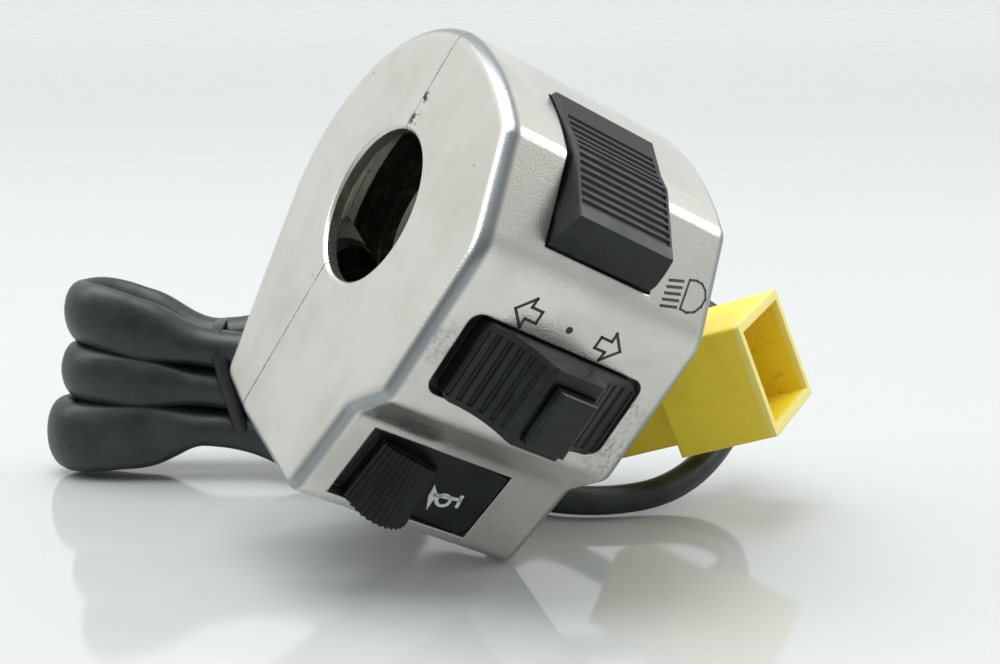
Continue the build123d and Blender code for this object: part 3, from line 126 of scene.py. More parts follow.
# Route of the harness, the solids' points with the loops' left ends drawn in, in millimetres
HANK_AT = (-16.0, 53.0)
HANK_ALONG = (0.863, -0.505)
STRAND_HALF_GAP = 3.75
LOOP_HALF = 8.5
LOOP_TURN = 5.0
RIGHT_END = 27.5
LEFT_ENDS = (-25.3, -26.4, -29.3)
LEFT_HALF = 4.6
LEFT_TURN = 3.4
WAIST_HALF = 5.0
RIGHT_DIP = 0.4
SPREAD_AT = 14.0
WAIST_HEIGHTS = (21.9, 15.5, 9.1)
LEFT_HEIGHTS = (27.2, 17.6, 6.9)
RIGHT_HEIGHTS = (18.55, 11.0, 3.45)
TAIL_END = 19.8
TAIL_WAIST_HEIGHT = 7.2
TAIL_DROP = 0.1
TOP_STRAND_SLOPE = 0.12
HANK_START = 0.0
LEAD_JOINS = 9.5
LEAD_START = -3.7
LEAD_OUT = 12.5
LEAD_SAG = (-0.4, 43.8, -14.6)
BOOT_LENGTH = 7.2
BOOT_STRAIGHT = 6.5
CONNECTOR_ROUTE = (
    (13.6, 22.0, -40.3),
    (13.4, 13.4, -40.5),
    (17.0, 5.8, -40.4),
    (24.2, 1.4, -40.5),
    (32.8, 0.2, -40.0),
    (41.7, 1.8, -37.2),
    (50.0, 5.6, -32.1),
    (53.8, 8.0, -25.1),
    (52.1, 11.4, -17.8),
    (45.8, 14.6, -13.2),
    (37.8, 19.0, -12.4),
    (29.8, 22.4, -12.4),
    (22.4, 25.2, -14.4),
    (16.8, 26.6, -19.0),
    (14.2, 26.2, -24.8),
    (15.2, 23.6, -30.2),
)

# Connector: its mouth's place and turn, and the way that the lead comes into its rear
MOUTH_AT = (44.6, -11.0, -18.4)
MOUTH_TURN = (-13.1, -16.3, -58.1)
MOUTH_HALF_DEPTH = 8.9
MOUTH_HALF_HEIGHT = 7.75
MOUTH_STAINS = (-12.0, -2.0)  # where along the connector the stains set in, 0 at its mouth
MOUTH_RIM = (-1.2, -0.5)
LEAD_END_X = -34.5
LEAD_END_STRAIGHT = 7.0
REAR_DROP = 1.2

# Looms inside the housing, in its own frame
LOOMS = {
    "dimmer": (
        (6.0, -13.95, 8.72), (6.0, -12.35, 6.42), (6.2, -15.4, -1.0), (6.2, -13.4, -9.5),
        (5.8, -5.0, -16.0), (5.53, 12.14, -14.58), (5.53, 16.68, -16.68),
    ),
    "turn": (
        (10.3, -20.0, -9.5), (10.3, -16.0, -9.5), (10.4, -9.0, -15.6), (9.8, 0.0, -18.4),
        (8.47, 12.14, -14.58), (8.47, 16.68, -16.68),
    ),
    "horn": (
        (3.5, -10.7, -26.45), (3.5, -6.73, -25.94), (4.6, 2.0, -25.4), (7.0, 11.07, -16.89),
        (7.0, 15.61, -18.99),
    ),
}

# The sheath's own shape: round at the tie, pressed tall and flat in the loops' left ends
TIE_LEAN = math.radians(-15)
TIE_AT = -0.6
STRAP_SIDES = 56
STRAP_SQUARENESS = 0.62  # below 1, the strap's turn is a rounded rectangle and not an ellipse
STRAP_PROFILE = ((-0.5, 0.0), (-0.46, 0.6), (-0.3, 0.95), (0.0, 1.1), (0.3, 0.95), (0.46, 0.6), (0.5, 0.0))
SLEEVE_SIDES = 28
WAIST_SECTION = (3.2, 3.5)
LOBE_HALF_HEIGHTS = (5.2, 4.7, 5.9)
LOBE_HALF_WIDTH = 2.9
LOBE_RUN = 11.0
SWELLS = ((9, 0.3), (3, 0.08))  # how far apart the sheath's uneven places are, and how high
LINE_STEPS = 8
CORD_STEPS = 16
CORD_ROUNDNESS = 7

# Turn arrows, as drawn on the flat face
ARROW_LEFT = (
    (-9.72, 4.0), (-7.7, 1.92), (-7.75, 3.24), (-5.95, 3.22), (-5.98, 4.95), (-7.72, 4.97), (-7.7, 6.26),
)
ARROW_RIGHT = ((7.46, 4.27), (5.47, 6.33), (5.5, 5.06), (3.74, 5.08), (3.72, 3.4), (5.47, 3.4), (5.35, 2.1))
CENTRE_DOT = (-1.08, 4.19)
CENTRE_DOT_R = 0.5

# Low-beam sign on the slanting facet: its bars and the bulging lamp
BEAM_BARS = (
    ((10.53, 6.67), (12.73, 7.34)),
    ((10.39, 5.74), (12.67, 6.41)),
    ((10.26, 4.81), (12.62, 5.47)),
    ((10.12, 3.89), (12.56, 4.55)),
    ((9.98, 2.96), (12.51, 3.63)),
)
BEAM_LAMP = (
    (13.81, 7.91), (13.51, 5.77), (13.22, 3.65), (14.4, 3.58), (15.6, 4.05), (16.61, 5.16),
    (17.05, 6.4), (16.75, 7.5), (15.95, 8.15), (14.95, 8.22),
)

# Horn sign on the plate
HORN_BELL = (
    (-0.2, 0.35), (0.15, -1.8), (1.25, -3.9), (1.15, -2.1), (1.35, -1.5), (1.0, -0.85), (0.4, -0.3),
)
HORN_TUBE = ((0.9, -1.15), (4.4, -0.4))
HORN_MOUTHPIECE = ((4.42, 0.15), (4.72, -1.5))
HORN_RING = (2.39, -1.45)
HORN_RING_OUTER = 1.2
HORN_RING_INNER = 0.7

# Chevron on the slider's side
CHEVRON = ((-0.54, 2.74), (-1.18, 4.85), (0.67, 5.63))

# Weights of the signs' lines, as shares of the printed line width
TUBE_WEIGHT = 1.4
MOUTHPIECE_WEIGHT = 1.3
THIN_WEIGHT = 0.8

# Wear, seams and painted shade of the casting, in the housing's own frame: places with their radii, and bands
PARTING_LEAN = math.radians(2.5)
PARTING_NORMAL = (0, math.cos(PARTING_LEAN), -math.sin(PARTING_LEAN))
PARTING_Y = 2.85
CHIPS = (((-SIDE_HALF, 2.4, 12.6), 1.7), ((-SIDE_HALF, 2.9, 15.8), 1.1), ((-SIDE_HALF, 3.3, -14.6), 1.0))
RUBS = (((15.8, FACE_Y, -9.5), 4.6), ((14.6, FACE_Y, -3.0), 3.4), ((-15.6, FACE_Y, -4.0), 4.0))
# bands of the painted dark reflection on the end faces' rims
RIM_RISE = (17.1, 17.7)
RIM_FALL = (18.65, 18.95)
RIM_REACH = (12.5, 13.5)
# the cavity, where the colour is unpainted metal darkened as painted shade
CAVITY_REACH = 21
CAVITY_HALF = 16.9

# Tones of wear, dust and the backdrop
RUBBED_TONE = linear("#8b8b85")
CHIP_TONE = linear("#2c2b26")
SCRATCH_TONE = linear("#e6e6e4")
PIT_TONE = linear("#77776f")
SEAM_TONE = linear("#26241f")
GREENISH_TONE = linear("#6d6a4a")
PLASTIC_SPECK_TONE = linear("#6d7472")
SHEATH_SPECK_TONE = linear("#5c6463")
FADED_DARK_INK = linear("#55554c")
FADED_LIGHT_INK = linear("#c9cccc")
FLOOR_DUST_TONE = linear("#8c9091")
BACKDROP_TONE = linear("#f2f5f5")

# Mottled finishes: how far their roughness goes either way, and the ink's metallic, roughness, bump and
# share of its first shade
ROUGHNESS_SPREAD = 0.12
INK_NUMBERS = (0.0, 0.5, 0.0, 0.62)

# Finishes of the small parts, by the record's slot names: material, its two shades, how many millimetres
# apart they change, metallic, roughness and bump in millimetres
SMALL_FINISHES = {
    # zinc-plated steel: greyish, slightly cloudy
    "screw_steel": ("zinc_plated_steel", "#b9b6ad", "#96948d", 1.2, 1.0, 0.34, 0.01),
    # ground steel: bright and smooth
    "pin_steel": ("ground_steel", "#c4c4c2", "#a8a8a6", 0.8, 1.0, 0.24, 0.005),
    # drawn spring wire: darker, slightly oily
    "spring_steel": ("spring_wire_drawn", "#8d8d8a", "#6d6d6b", 0.6, 1.0, 0.32, 0.008),
    # stamped brass: tarnished, with dull green-brown spots
    "brass": ("brass_tarnished", "#b8944f", "#6f6a3c", 1.4, 0.9, 0.42, 0.02),
    # moulded phenolic: dull brown-black
    "insulator": ("phenolic_moulded", "#2d2620", "#41382e", 1.0, 0.0, 0.55, 0.03),
    # moulded rubber: matt, slightly grey
    "rubber": ("rubber_moulded", "#1d2021", "#2c3031", 1.8, 0.0, 0.62, 0.04),
    # wire insulation: smooth green PVC
    "wire_green": ("pvc_insulation_green", "#1f5a33", "#2d6b3f", 1.5, 0.0, 0.4, 0.01),
    # tinned brass: pale and a little dull
    "tinned": ("tinned_brass", "#cdcbc2", "#aaa79a", 0.9, 1.0, 0.36, 0.01),
}
# The same for the hank's strap, slightly shinier than the sheath, and the looms' lapped tape, slightly ridged
STRAP_FINISH = ("vinyl_strap", "#101314", "#1e2324", 2.4, 0.0, 0.36, 0.03)
TAPE_FINISH = ("vinyl_tape_lapped", "#141617", "#202324", 2.0, 0.0, 0.46, 0.08)

# Camera, and the room it stands in
CAMERA_AT = (-117.38, -205.83, 39.17)
CAMERA_AHEAD = (0.49365, 0.84444, -0.20791)
CAMERA_RIGHT = (0.86331, -0.50468, 0)
FOCAL_LENGTH = 61.43
SENSOR_WIDTH = 36.0
CLIP = (0.01, 20.0)  # the nearest and farthest that it sees, in metres
BRIGHT_SIDE = (0.42, 0.72, 0.55)  # the way to the brightest part of the backdrop
LAMPS = (
    ("overhead_light", (-150, 100, 800), 700, 1.0),
    ("left_light", (-620, 260, 520), 420, 0.22),
    ("right_light", (700, -250, 420), 350, 0.3),
)


class HousingSettings(bpy.types.PropertyGroup):
    """Finish of the two housing halves."""
    paint: colour("Paint", "Silver finish of the casting", "#dadad2")
    worn_paint: colour("Worn paint", "Finish where it is rubbed", "#cac9c1")
    # the rim colour is a painted dark reflection on the end faces' rounded rims
    rim: colour("Rim", "Rubbed rims of the end faces", "#7e868b")
    # the inside's dark colour is partly unpainted metal and partly painted shade
    bare_metal_and_shade: colour("Bare casting", "Dark unpainted metal inside", "#3a342b")
    roughness: share("Roughness", "How matt the finish is", 0.26)
    metal: share("Metal", "How metallic the finish is", 0.94)
    edge_round: size("Edge rounding", "How far the edges are rounded in shading", 0.3)
    parting_width: size("Parting line", "Width of the dark line between the halves", 0.16)


class SwitchSettings(bpy.types.PropertyGroup):
    """Finish of the black controls and of their marks."""
    black: colour("Black", "Moulded plastic", "#0d1112")
    dusty: colour("Dusty black", "Plastic with dust on it", "#1f2627")
    roughness: share("Roughness", "How matt the plastic is", 0.36)
    mark_dark: colour("Dark mark", "Printed signs on the housing", "#34342e")
    mark_light: colour("Light mark", "Printed sign on the horn button", "#eceeee")
    edge_round: size("Edge rounding", "How far the edges are rounded in shading", 0.3)
    line_width: size("Line width", "Width of the printed outlines", 0.4)
    mark_thickness: size("Mark thickness", "Thickness of the print", 0.03)


class HarnessSettings(bpy.types.PropertyGroup):
    """Sizes and colours of the harness and the connector."""
    sheath: colour("Sheath", "Thick and thin sheath", "#161b1c")
    # the paler sheath colour is partly dust and partly painted sheen
    sheath_dust_and_sheen: colour("Sheath bloom", "Sheath where it is rubbed or dusty", "#2d3839")
    sheath_diameter: size("Sheath diameter", "Thick sheath, across", 6.8)
    lead_diameter: size("Lead diameter", "Thin lead, across", 4.5)
    loom_diameter: size("Loom diameter", "Taped looms inside the housing, across", 2.6)
    tie_width: size("Tie width", "Width of the strap round the hank", 2.3)
    tie_thickness: size("Tie thickness", "Thickness of the strap", 0.8)
    nylon: colour("Nylon", "Connector moulding", "#f4dc38")
    nylon_deep: colour("Deep nylon", "Connector where it is thick or stained", "#e6c324")
    stain: colour("Stain", "Brown stains inside the mouth", "#8a5a12")
    # a paler band round the mouth's rim and just inside it
    pale_rim: colour("Rubbed rim", "Pale rim of the connector's mouth", "#f2e896")
    moulded_round: size("Moulded rounding", "How far the connector's edges are rounded in shading", 0.4)


class StageSettings(bpy.types.PropertyGroup):
    """Floor, backdrop and light."""
    floor: colour("Floor", "Pale glossy floor", "#bec1c1")
    floor_size: size("Floor size", "Width of the floor", 14000)
    light: FloatProperty(
        name="Light", description="Power of the main soft light", default=7.0, min=0, unit="POWER"
    )
    surround: FloatProperty(name="Surround", description="Strength of the pale backdrop", default=1.02, min=0)
    shade: FloatProperty(name="Shade", description="Strength of the darker camera side", default=0.38, min=0)


def add_node(tree, kind, settings=(), inputs=()):
    """Adds one node, sets its properties, and fills its inputs or links them to sockets."""
    made = tree.nodes.new(kind)
    for key, value in dict(settings).items():
        setattr(made, key, value)
    for key, value in dict(inputs).items():
        if isinstance(value, bpy.types.NodeSocket):
            tree.links.new(value, made.inputs[key])
        else:
            made.inputs[key].default_value = value
    return made


def new_tree(name):
    """A new material and its empty node tree."""
    material = bpy.data.materials.new(name)
    material.use_nodes = True
    material.node_tree.nodes.clear()
    return material, material.node_tree


def close_tree(tree, shader_inputs):
    """The material's shader and its output."""
    shader = add_node(tree, "ShaderNodeBsdfPrincipled", inputs=shader_inputs)
    add_node(tree, "ShaderNodeOutputMaterial", inputs={"Surface": shader.outputs[0]})


def per_metre(grain):
    """The scale of a pattern whose features are that many millimetres apart."""
    return 1 / (grain * MM)


def surface_place(tree):
    """A surface point in the row frame."""
    return add_node(tree, "ShaderNodeTexCoord").outputs["Object"]


def housing_place(tree):
    """A surface point in the housing's own frame."""
    turn = LIE.inverted().to_euler()
    place_inputs = {"Vector": surface_place(tree), "Rotation": turn}
    return add_node(tree, "ShaderNodeMapping", inputs=place_inputs).outputs[0]


def ramp(tree, value, start, end, low=0.0, high=1.0):
    """A value spread from one range to another, held at its ends."""
    ramp_inputs = {0: value, 1: start, 2: end, 3: low, 4: high}
    return add_node(tree, "ShaderNodeMapRange", inputs=ramp_inputs).outputs[0]


def ramp_over(tree, length, run, low=0.0, high=1.0):
    """A value spread over a run in millimetres, held at its ends."""
    return ramp(tree, length, run[0] * MM, run[1] * MM, low, high)


def blend(tree, amount, first, second):
    """Two colours mixed by an amount."""
    return add_node(tree, "ShaderNodeMix", {"data_type": "RGBA"}, {0: amount, 6: first, 7: second}).outputs[2]


def maths(tree, operation, *values):
    """One step of arithmetic on values or sockets."""
    return add_node(tree, "ShaderNodeMath", {"operation": operation}, dict(enumerate(values))).outputs[0]


def product(tree, first, *others):
    """Values multiplied together."""
    for other in others:
        first = maths(tree, "MULTIPLY", first, other)
    return first


def closer_than(tree, value, limit):
    """1 where a length, whatever its sign, is under a limit in millimetres, and 0 elsewhere."""
    return maths(tree, "LESS_THAN", maths(tree, "ABSOLUTE", value), limit * MM)


def clouds(tree, place, grain, detail=4.0, roughness=0.55):
    """Noise whose features are that many millimetres apart."""
    noise_inputs = {"Vector": place, "Scale": per_metre(grain), "Detail": detail, "Roughness": roughness}
    return add_node(tree, "ShaderNodeTexNoise", inputs=noise_inputs).outputs[0]


def bumps(tree, height, depth, strength=1.0, normal=None, sunk=False):
    """The surface normal with bumps of a depth in millimetres, on top of another normal if one is given."""
    bump_inputs = {"Height": height, "Distance": depth * MM, "Strength": strength}
    if normal is not None:
        bump_inputs["Normal"] = normal
    return add_node(tree, "ShaderNodeBump", {"invert": sunk}, bump_inputs).outputs[0]


def rounded(tree, radius):
    """The surface normal with edges rounded by a radius in metres."""
    return add_node(tree, "ShaderNodeBevel", {"samples": 6}, {"Radius": radius}).outputs[0]


def near_spot(tree, place, spot, radius):
    """How near a point is to a spot in the housing's frame, 1 at it and 0 a radius away."""
    away = add_node(
        tree, "ShaderNodeVectorMath", {"operation": "DISTANCE"}, {0: place, 1: Vector(spot) * MM}
    ).outputs["Value"]
    return ramp_over(tree, away, (0.35 * radius, radius), 1.0, 0.0)


def spotted(tree, place, base, spots, pattern, tone):
    """A colour with a pattern of another colour laid over some round spots."""
    for spot, radius in spots:
        base = blend(tree, product(tree, near_spot(tree, place, spot, radius), pattern), base, tone)
    return base


def mottled(name, main, other, grain, metallic, roughness, bump, spots=0.5):
    """A finish of two mixed shades: grain and bump in millimetres, spots the share of the main shade."""
    material, tree = new_tree(name)
    cloud = clouds(tree, surface_place(tree), grain, 6.0, 0.6)
    close_tree(tree, {
        "Base Color": blend(tree, ramp(tree, cloud, spots - 0.15, spots + 0.15), main, other),
        "Metallic": metallic,
        "Roughness": ramp(tree, cloud, 0.3, 0.7, roughness - ROUGHNESS_SPREAD, roughness + ROUGHNESS_SPREAD),
        "Normal": bumps(tree, cloud, bump),
    })
    return material


def parting_seam(tree, place, width):
    """1 on the line where the two halves meet, its width ragged by small chips."""
    height = add_node(
        tree, "ShaderNodeVectorMath", {"operation": "DOT_PRODUCT"}, {0: place, 1: PARTING_NORMAL}
    ).outputs["Value"]
    off_plane = maths(tree, "ABSOLUTE", maths(tree, "SUBTRACT", height, PARTING_Y * PARTING_NORMAL[1] * MM))
    ragged = product(tree, ramp(tree, clouds(tree, place, 1.3, 3.0), 0.35, 0.75, 0.45, 1.9), width / 2)
    return maths(tree, "LESS_THAN", off_plane, ragged)


def scratches(tree, place):
    """1 on long thin scratches, all lying one way."""
    stretched = add_node(tree, "ShaderNodeMapping", inputs={
        "Vector": place,
        "Rotation": (0.7, 0.3, 1.1),
        "Scale": (0.04, 1.0, 1.0),
    }).outputs[0]
    return ramp(tree, clouds(tree, stretched, 0.7, 4.0, 0.7), 0.68, 0.74)


def pits(tree, place):
    """1 in small dents, few and uneven: only where a broad cloud allows them."""
    cells = add_node(tree, "ShaderNodeTexVoronoi", inputs={"Vector": place, "Scale": per_metre(4.6)})
    allowed = ramp(tree, clouds(tree, place, 16), 0.5, 0.56)
    return product(tree, ramp(tree, cells.outputs["Distance"], 0.03, 0.05, 1.0, 0.0), allowed)


def silver_casting(settings):
    """Cast aluminium with a worn silver finish: satin, with fine scratches, nicks and grey rubbed patches."""
    material, tree = new_tree("cast_aluminium_silver")
    place = housing_place(tree)
    along, out, up = add_node(tree, "ShaderNodeSeparateXYZ", inputs={0: place}).outputs
    cloud = clouds(tree, place, 12, 5.0)
    base = blend(tree, ramp(tree, cloud, 0.4, 0.7), settings.paint, settings.worn_paint)
    # grey rubbed patches at the slider slot's ends
    rubbed = ramp(tree, clouds(tree, place, 0.7, 5.0, 0.7), 0.46, 0.62, 0.0, 0.7)
    base = spotted(tree, place, base, RUBS, rubbed, RUBBED_TONE)
    # the end faces' rounded rims are painted a darker grey-blue, a painted dark reflection
    across = maths(tree, "ABSOLUTE", along)
    squares = maths(tree, "ADD", maths(tree, "POWER", out, 2.0), maths(tree, "POWER", up, 2.0))
    reach = maths(tree, "SQRT", squares)
    rim = product(
        tree,
        ramp_over(tree, across, RIM_RISE),
        ramp_over(tree, across, RIM_FALL, 1.0, 0.0),
        ramp_over(tree, reach, RIM_REACH, 0.0, 0.8),
    )
    base = blend(tree, rim, base, settings.rim)
    # dark chips beside the bore, where the halves meet
    chipped = ramp(tree, clouds(tree, place, 1.2, 4.0, 0.6), 0.5, 0.54)
    base = spotted(tree, place, base, CHIPS, chipped, CHIP_TONE)
    scratched = scratches(tree, place)
    base = blend(tree, product(tree, scratched, 0.5), base, SCRATCH_TONE)
    pitted = pits(tree, place)
    base = blend(tree, pitted, base, PIT_TONE)
    seam = parting_seam(tree, place, settings.parting_width)
    base = blend(tree, seam, base, SEAM_TONE)
    # the cavity is unpainted metal with greenish spots, its colour darkened as painted shade
    unpainted_shaded_cavity = product(tree, closer_than(tree, reach, CAVITY_REACH), closer_than(tree, across, CAVITY_HALF))
    spots = ramp(tree, clouds(tree, place, 3.0, 5.0, 0.7), 0.5, 0.68)
    base = blend(tree, unpainted_shaded_cavity, base, blend(tree, spots, settings.bare_metal_and_shade, GREENISH_TONE))
    satin = ramp(tree, cloud, 0.3, 0.7, settings.roughness - 0.04, settings.roughness + 0.08)
    lumps = bumps(tree, clouds(tree, place, 0.28, 2.0), 0.03, normal=rounded(tree, settings.edge_round))
    dents = maths(tree, "MAXIMUM", maths(tree, "MAXIMUM", scratched, pitted), seam)
    close_tree(tree, {
        "Base Color": base,
        "Metallic": settings.metal,
        "Roughness": maths(tree, "MAXIMUM", satin, product(tree, unpainted_shaded_cavity, 0.55)),
        "Normal": bumps(tree, dents, 0.03, 0.6, lumps, sunk=True),
    })
    return material


def moulded_black(settings):
    """Moulded ABS, semi-gloss and a little dusty: soft highlights, paler where dust lies."""
    material, tree = new_tree("abs_black_moulded")
    place = surface_place(tree)
    dust = clouds(tree, place, 3.5, 6.0, 0.65)
    shade = blend(tree, ramp(tree, dust, 0.45, 0.75), settings.black, settings.dusty)
    specks = ramp(tree, clouds(tree, place, 0.35, 2.0), 0.72, 0.78, 0.0, 0.6)
    close_tree(tree, {
        "Base Color": blend(tree, specks, shade, PLASTIC_SPECK_TONE),
        "Roughness": ramp(tree, dust, 0.3, 0.7, settings.roughness - 0.08, settings.roughness + 0.14),
        "IOR": 1.5,
        "Specular IOR Level": 0.38,
        "Normal": bumps(tree, clouds(tree, place, 0.3, 2.0), 0.012, 0.6, rounded(tree, settings.edge_round)),
    })
    return material


def soft_sheath(settings):
    """Extruded PVC sheath: matt with a broad soft sheen, faint creases and a paler mottle, partly dust and
    partly painted sheen.
    """
    material, tree = new_tree("pvc_sheath_extruded")
    place = surface_place(tree)
    sheen_and_dust_clouds = clouds(tree, place, 7, 5.0, 0.6)
    # paler patches, partly dust and partly painted sheen
    shade = blend(tree, ramp(tree, sheen_and_dust_clouds, 0.35, 0.75), settings.sheath, settings.sheath_dust_and_sheen)
    specks = ramp(tree, clouds(tree, place, 0.5, 2.0), 0.74, 0.8, 0.0, 0.5)
    close_tree(tree, {
        "Base Color": blend(tree, specks, shade, SHEATH_SPECK_TONE),
        "Roughness": ramp(tree, sheen_and_dust_clouds, 0.3, 0.7, 0.34, 0.5),
        "IOR": 1.53,
        "Specular IOR Level": 0.5,
        "Normal": bumps(tree, clouds(tree, place, 2.6, 3.0), 0.12, 0.6),
    })
    return material


def mouth_place(tree):
    """A surface point in the connector's frame."""
    turn = mouth_frame().inverted()
    return add_node(tree, "ShaderNodeMapping", inputs={
        "Vector": surface_place(tree),
        "Location": turn.to_translation(),
        "Rotation": turn.to_euler(),
    }).outputs[0]


def yellow_nylon(settings):
    """Moulded nylon: waxy, slightly translucent, with brown stains inside its mouth and a paler band at its
    rim.
    """
    material, tree = new_tree("nylon_yellow_moulded")
    place = surface_place(tree)
    along, side, rise = add_node(tree, "ShaderNodeSeparateXYZ", inputs={0: mouth_place(tree)}).outputs
    patches = clouds(tree, place, 5, 6.0, 0.65)
    shade = blend(tree, ramp(tree, patches, 0.5, 0.8, 0.0, 0.7), settings.nylon, settings.nylon_deep)
    stained = product(
        tree,
        closer_than(tree, side, MOUTH_HALF_DEPTH),
        closer_than(tree, rise, MOUTH_HALF_HEIGHT),
        ramp_over(tree, along, MOUTH_STAINS),
        ramp(tree, clouds(tree, place, 1.8, 5.0, 0.7), 0.56, 0.7),
        0.55,
    )
    shade = blend(tree, stained, shade, settings.stain)
    # paler towards the mouth's rim
    rim = ramp_over(tree, along, MOUTH_RIM, 0.0, 0.65)
    grain = clouds(tree, place, 0.5, 2.0)
    close_tree(tree, {
        "Base Color": blend(tree, rim, shade, settings.pale_rim),
        "Roughness": ramp(tree, patches, 0.3, 0.7, 0.34, 0.46),
        "IOR": 1.53,
        "Subsurface Weight": 0.15,
        "Subsurface Radius": (1.6 * MM, 1.1 * MM, 0.3 * MM),
        "Subsurface Scale": 1.0,
        "Normal": bumps(tree, grain, 0.015, 0.6, rounded(tree, settings.moulded_round)),
    })
    return material


def polished_acrylic(settings):
    """Polished acrylic sheet: pale, glossy, a little smeared and dusty."""
    material, tree = new_tree("acrylic_sheet_polished")
    place = surface_place(tree)
    rough = ramp(tree, clouds(tree, place, 40, 5.0, 0.6), 0.35, 0.7, 0.06, 0.13)
    dust = ramp(tree, clouds(tree, place, 2.2, 5.0, 0.7), 0.66, 0.74, 0.0, 0.35)
    shade = blend(tree, dust, settings.floor, FLOOR_DUST_TONE)
    close_tree(tree, {"Base Color": shade, "Roughness": rough, "IOR": 1.6})
    return material


def pale_surround(settings):
    """The world: a pale backdrop, darker on the camera's side."""
    world = bpy.data.worlds.new("surround")
    world.use_nodes = True
    tree = world.node_tree
    background = tree.nodes["Background"]
    background.inputs["Color"].default_value = BACKDROP_TONE
    way = add_node(tree, "ShaderNodeTexCoord").outputs["Generated"]
    towards_back = add_node(
        tree, "ShaderNodeVectorMath", {"operation": "DOT_PRODUCT"}, {0: way, 1: BRIGHT_SIDE}
    ).outputs["Value"]
    strength = ramp(tree, towards_back, -0.6, 0.75, settings.shade, settings.surround)
    tree.links.new(strength, background.inputs["Strength"])
    return world


def small_finish(name, main, other, *numbers):
    """A mottled finish from a row of the small parts' table."""
    return mottled(name, linear(main), linear(other), *numbers)


def give(piece, material):
    """Makes the material the piece's only one."""
    piece.data.materials.clear()
    piece.data.materials.append(material)


def finish_nodes(slot, material):
    """Gives a material to every CAD node that the record puts in a slot."""
    for part in frame["record"]["subparts"]:
        if part["material_slot"] == slot:
            give(frame["nodes"][part["node"]], material)


def link(name, data):
    """A new object in the scene, at the origin."""
    piece = bpy.data.objects.new(name, data)
    bpy.context.scene.collection.objects.link(piece)
    return piece


def finished_mesh(name, bm, place, material, body, smooth=False):
    """Turns a bmesh into a piece with its place in its mesh, riding on a body."""
    bm.transform(place)
    bmesh.ops.recalc_face_normals(bm, faces=bm.faces)
    mesh = bpy.data.meshes.new(name)
    bm.to_mesh(mesh)
    bm.free()
    for polygon in mesh.polygons:
        polygon.use_smooth = smooth
    piece = link(name, mesh)
    give(piece, material)
    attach(piece, body)
    return piece


def vertices_in(parts):
    """The vertices among mixed parts of a bmesh."""
    return [part for part in parts if isinstance(part, bmesh.types.BMVert)]


def grow(bm, edges):
    """Extrudes a closed loop of edges in place: its new vertices and its new loop."""
    parts = bmesh.ops.extrude_edge_only(bm, edges=edges)["geom"]
    fresh = vertices_in(parts)
    loop = [
        part for part in parts
        if isinstance(part, bmesh.types.BMEdge) and part.verts[0] in fresh and part.verts[1] in fresh
    ]
    return fresh, loop


def loop_of(verts):
    """The edges between the vertices of a circle."""
    return list({edge for vertex in verts for edge in vertex.link_edges})


def flat_face(bm, points):
    """A flat face from corners in millimetres."""
    return bm.faces.new([bm.verts.new(Vector((x, y, 0)) * MM) for x, y in points])


def outline(bm, points, width):
    """A closed line through points."""
    stroke(bm, (*points, points[0]), width)


def ring(bm, middle, inner, outer):
    """A flat ring, spun from its radial edge."""
    ends = [bm.verts.new(Vector((middle[0] + radius, middle[1], 0)) * MM) for radius in (inner, outer)]
    edge = bm.edges.new(ends)
    centre = Vector((*middle, 0)) * MM
    bmesh.ops.spin(
        bm, geom=[*ends, edge], cent=centre, axis=(0, 0, 1), angle=math.tau, steps=32, use_merge=True
    )


def stroke(bm, points, width):
    """An open line through points, as flat bars."""
    for start, end in zip(points, points[1:]):
        a, b = Vector((*start, 0)) * MM, Vector((*end, 0)) * MM
        reach = (b - a).normalized() * width / 2
        side = Vector((-reach.y, reach.x, 0))
        corners = (a - reach - side, b + reach - side, b + reach + side, a - reach + side)
        bm.faces.new([bm.verts.new(corner) for corner in corners])


def print_mark(name, bm, place, thickness, material, body):
    """Gives a flat mark its thickness and lays it on a face."""
    bmesh.ops.recalc_face_normals(bm, faces=bm.faces)
    raised = bmesh.ops.extrude_face_region(bm, geom=list(bm.faces))["geom"]
    bmesh.ops.translate(bm, vec=(0, 0, thickness), verts=vertices_in(raised))
    finished_mesh(name, bm, place, material, body)


def hank_point(along, across, height):
    """A point of the hank in metres: along and across its loops, and its height over the table."""
    ux, uy = HANK_ALONG
    x = HANK_AT[0] + along * ux - across * uy
    y = HANK_AT[1] + along * uy + across * ux
    return Vector((x, y, TABLE_Z + height)) * MM


def left_turn(level):
    """The left end of one loop, from its far strand to its near strand."""
    height = LEFT_HEIGHTS[level]
    end = LEFT_ENDS[level]
    inner = end + LEFT_TURN
    side = LEFT_HALF - LEFT_TURN
    spread = (WAIST_HEIGHTS[level] + height) / 2
    return [
        (-WAIST_HALF, STRAND_HALF_GAP, WAIST_HEIGHTS[level]),
        (-SPREAD_AT, LEFT_HALF, spread),
        (inner, LEFT_HALF, height),
        (end, side, height),
        (end, -side, height),
        (inner, -LEFT_HALF, height),
        (-SPREAD_AT, -LEFT_HALF, spread),
        (-WAIST_HALF, -STRAND_HALF_GAP, WAIST_HEIGHTS[level]),
    ]


def right_turn(level):
    """The right end between two loops, from one near strand down to the next far strand."""
    height = RIGHT_HEIGHTS[level]
    inner = RIGHT_END - LOOP_TURN
    side = LOOP_HALF - LOOP_TURN
    high, low = WAIST_HEIGHTS[level], WAIST_HEIGHTS[level + 1]
    return [
        (WAIST_HALF, -STRAND_HALF_GAP, high - (high - height) * WAIST_HALF / inner),
        (SPREAD_AT, -LOOP_HALF, high - (high - height) * SPREAD_AT / inner),
        (inner, -LOOP_HALF, height),
        (RIGHT_END, -side, height),
        (RIGHT_END, side, height),
        (inner, LOOP_HALF, height),
        (SPREAD_AT, LOOP_HALF, height - (height - low) * RIGHT_DIP),
        (WAIST_HALF, STRAND_HALF_GAP, low),
    ]


def top_strand(along):
    """A point of the straight top strand that runs in from the housing."""
    return (along, STRAND_HALF_GAP, WAIST_HEIGHTS[0] + TOP_STRAND_SLOPE * (along + WAIST_HALF))


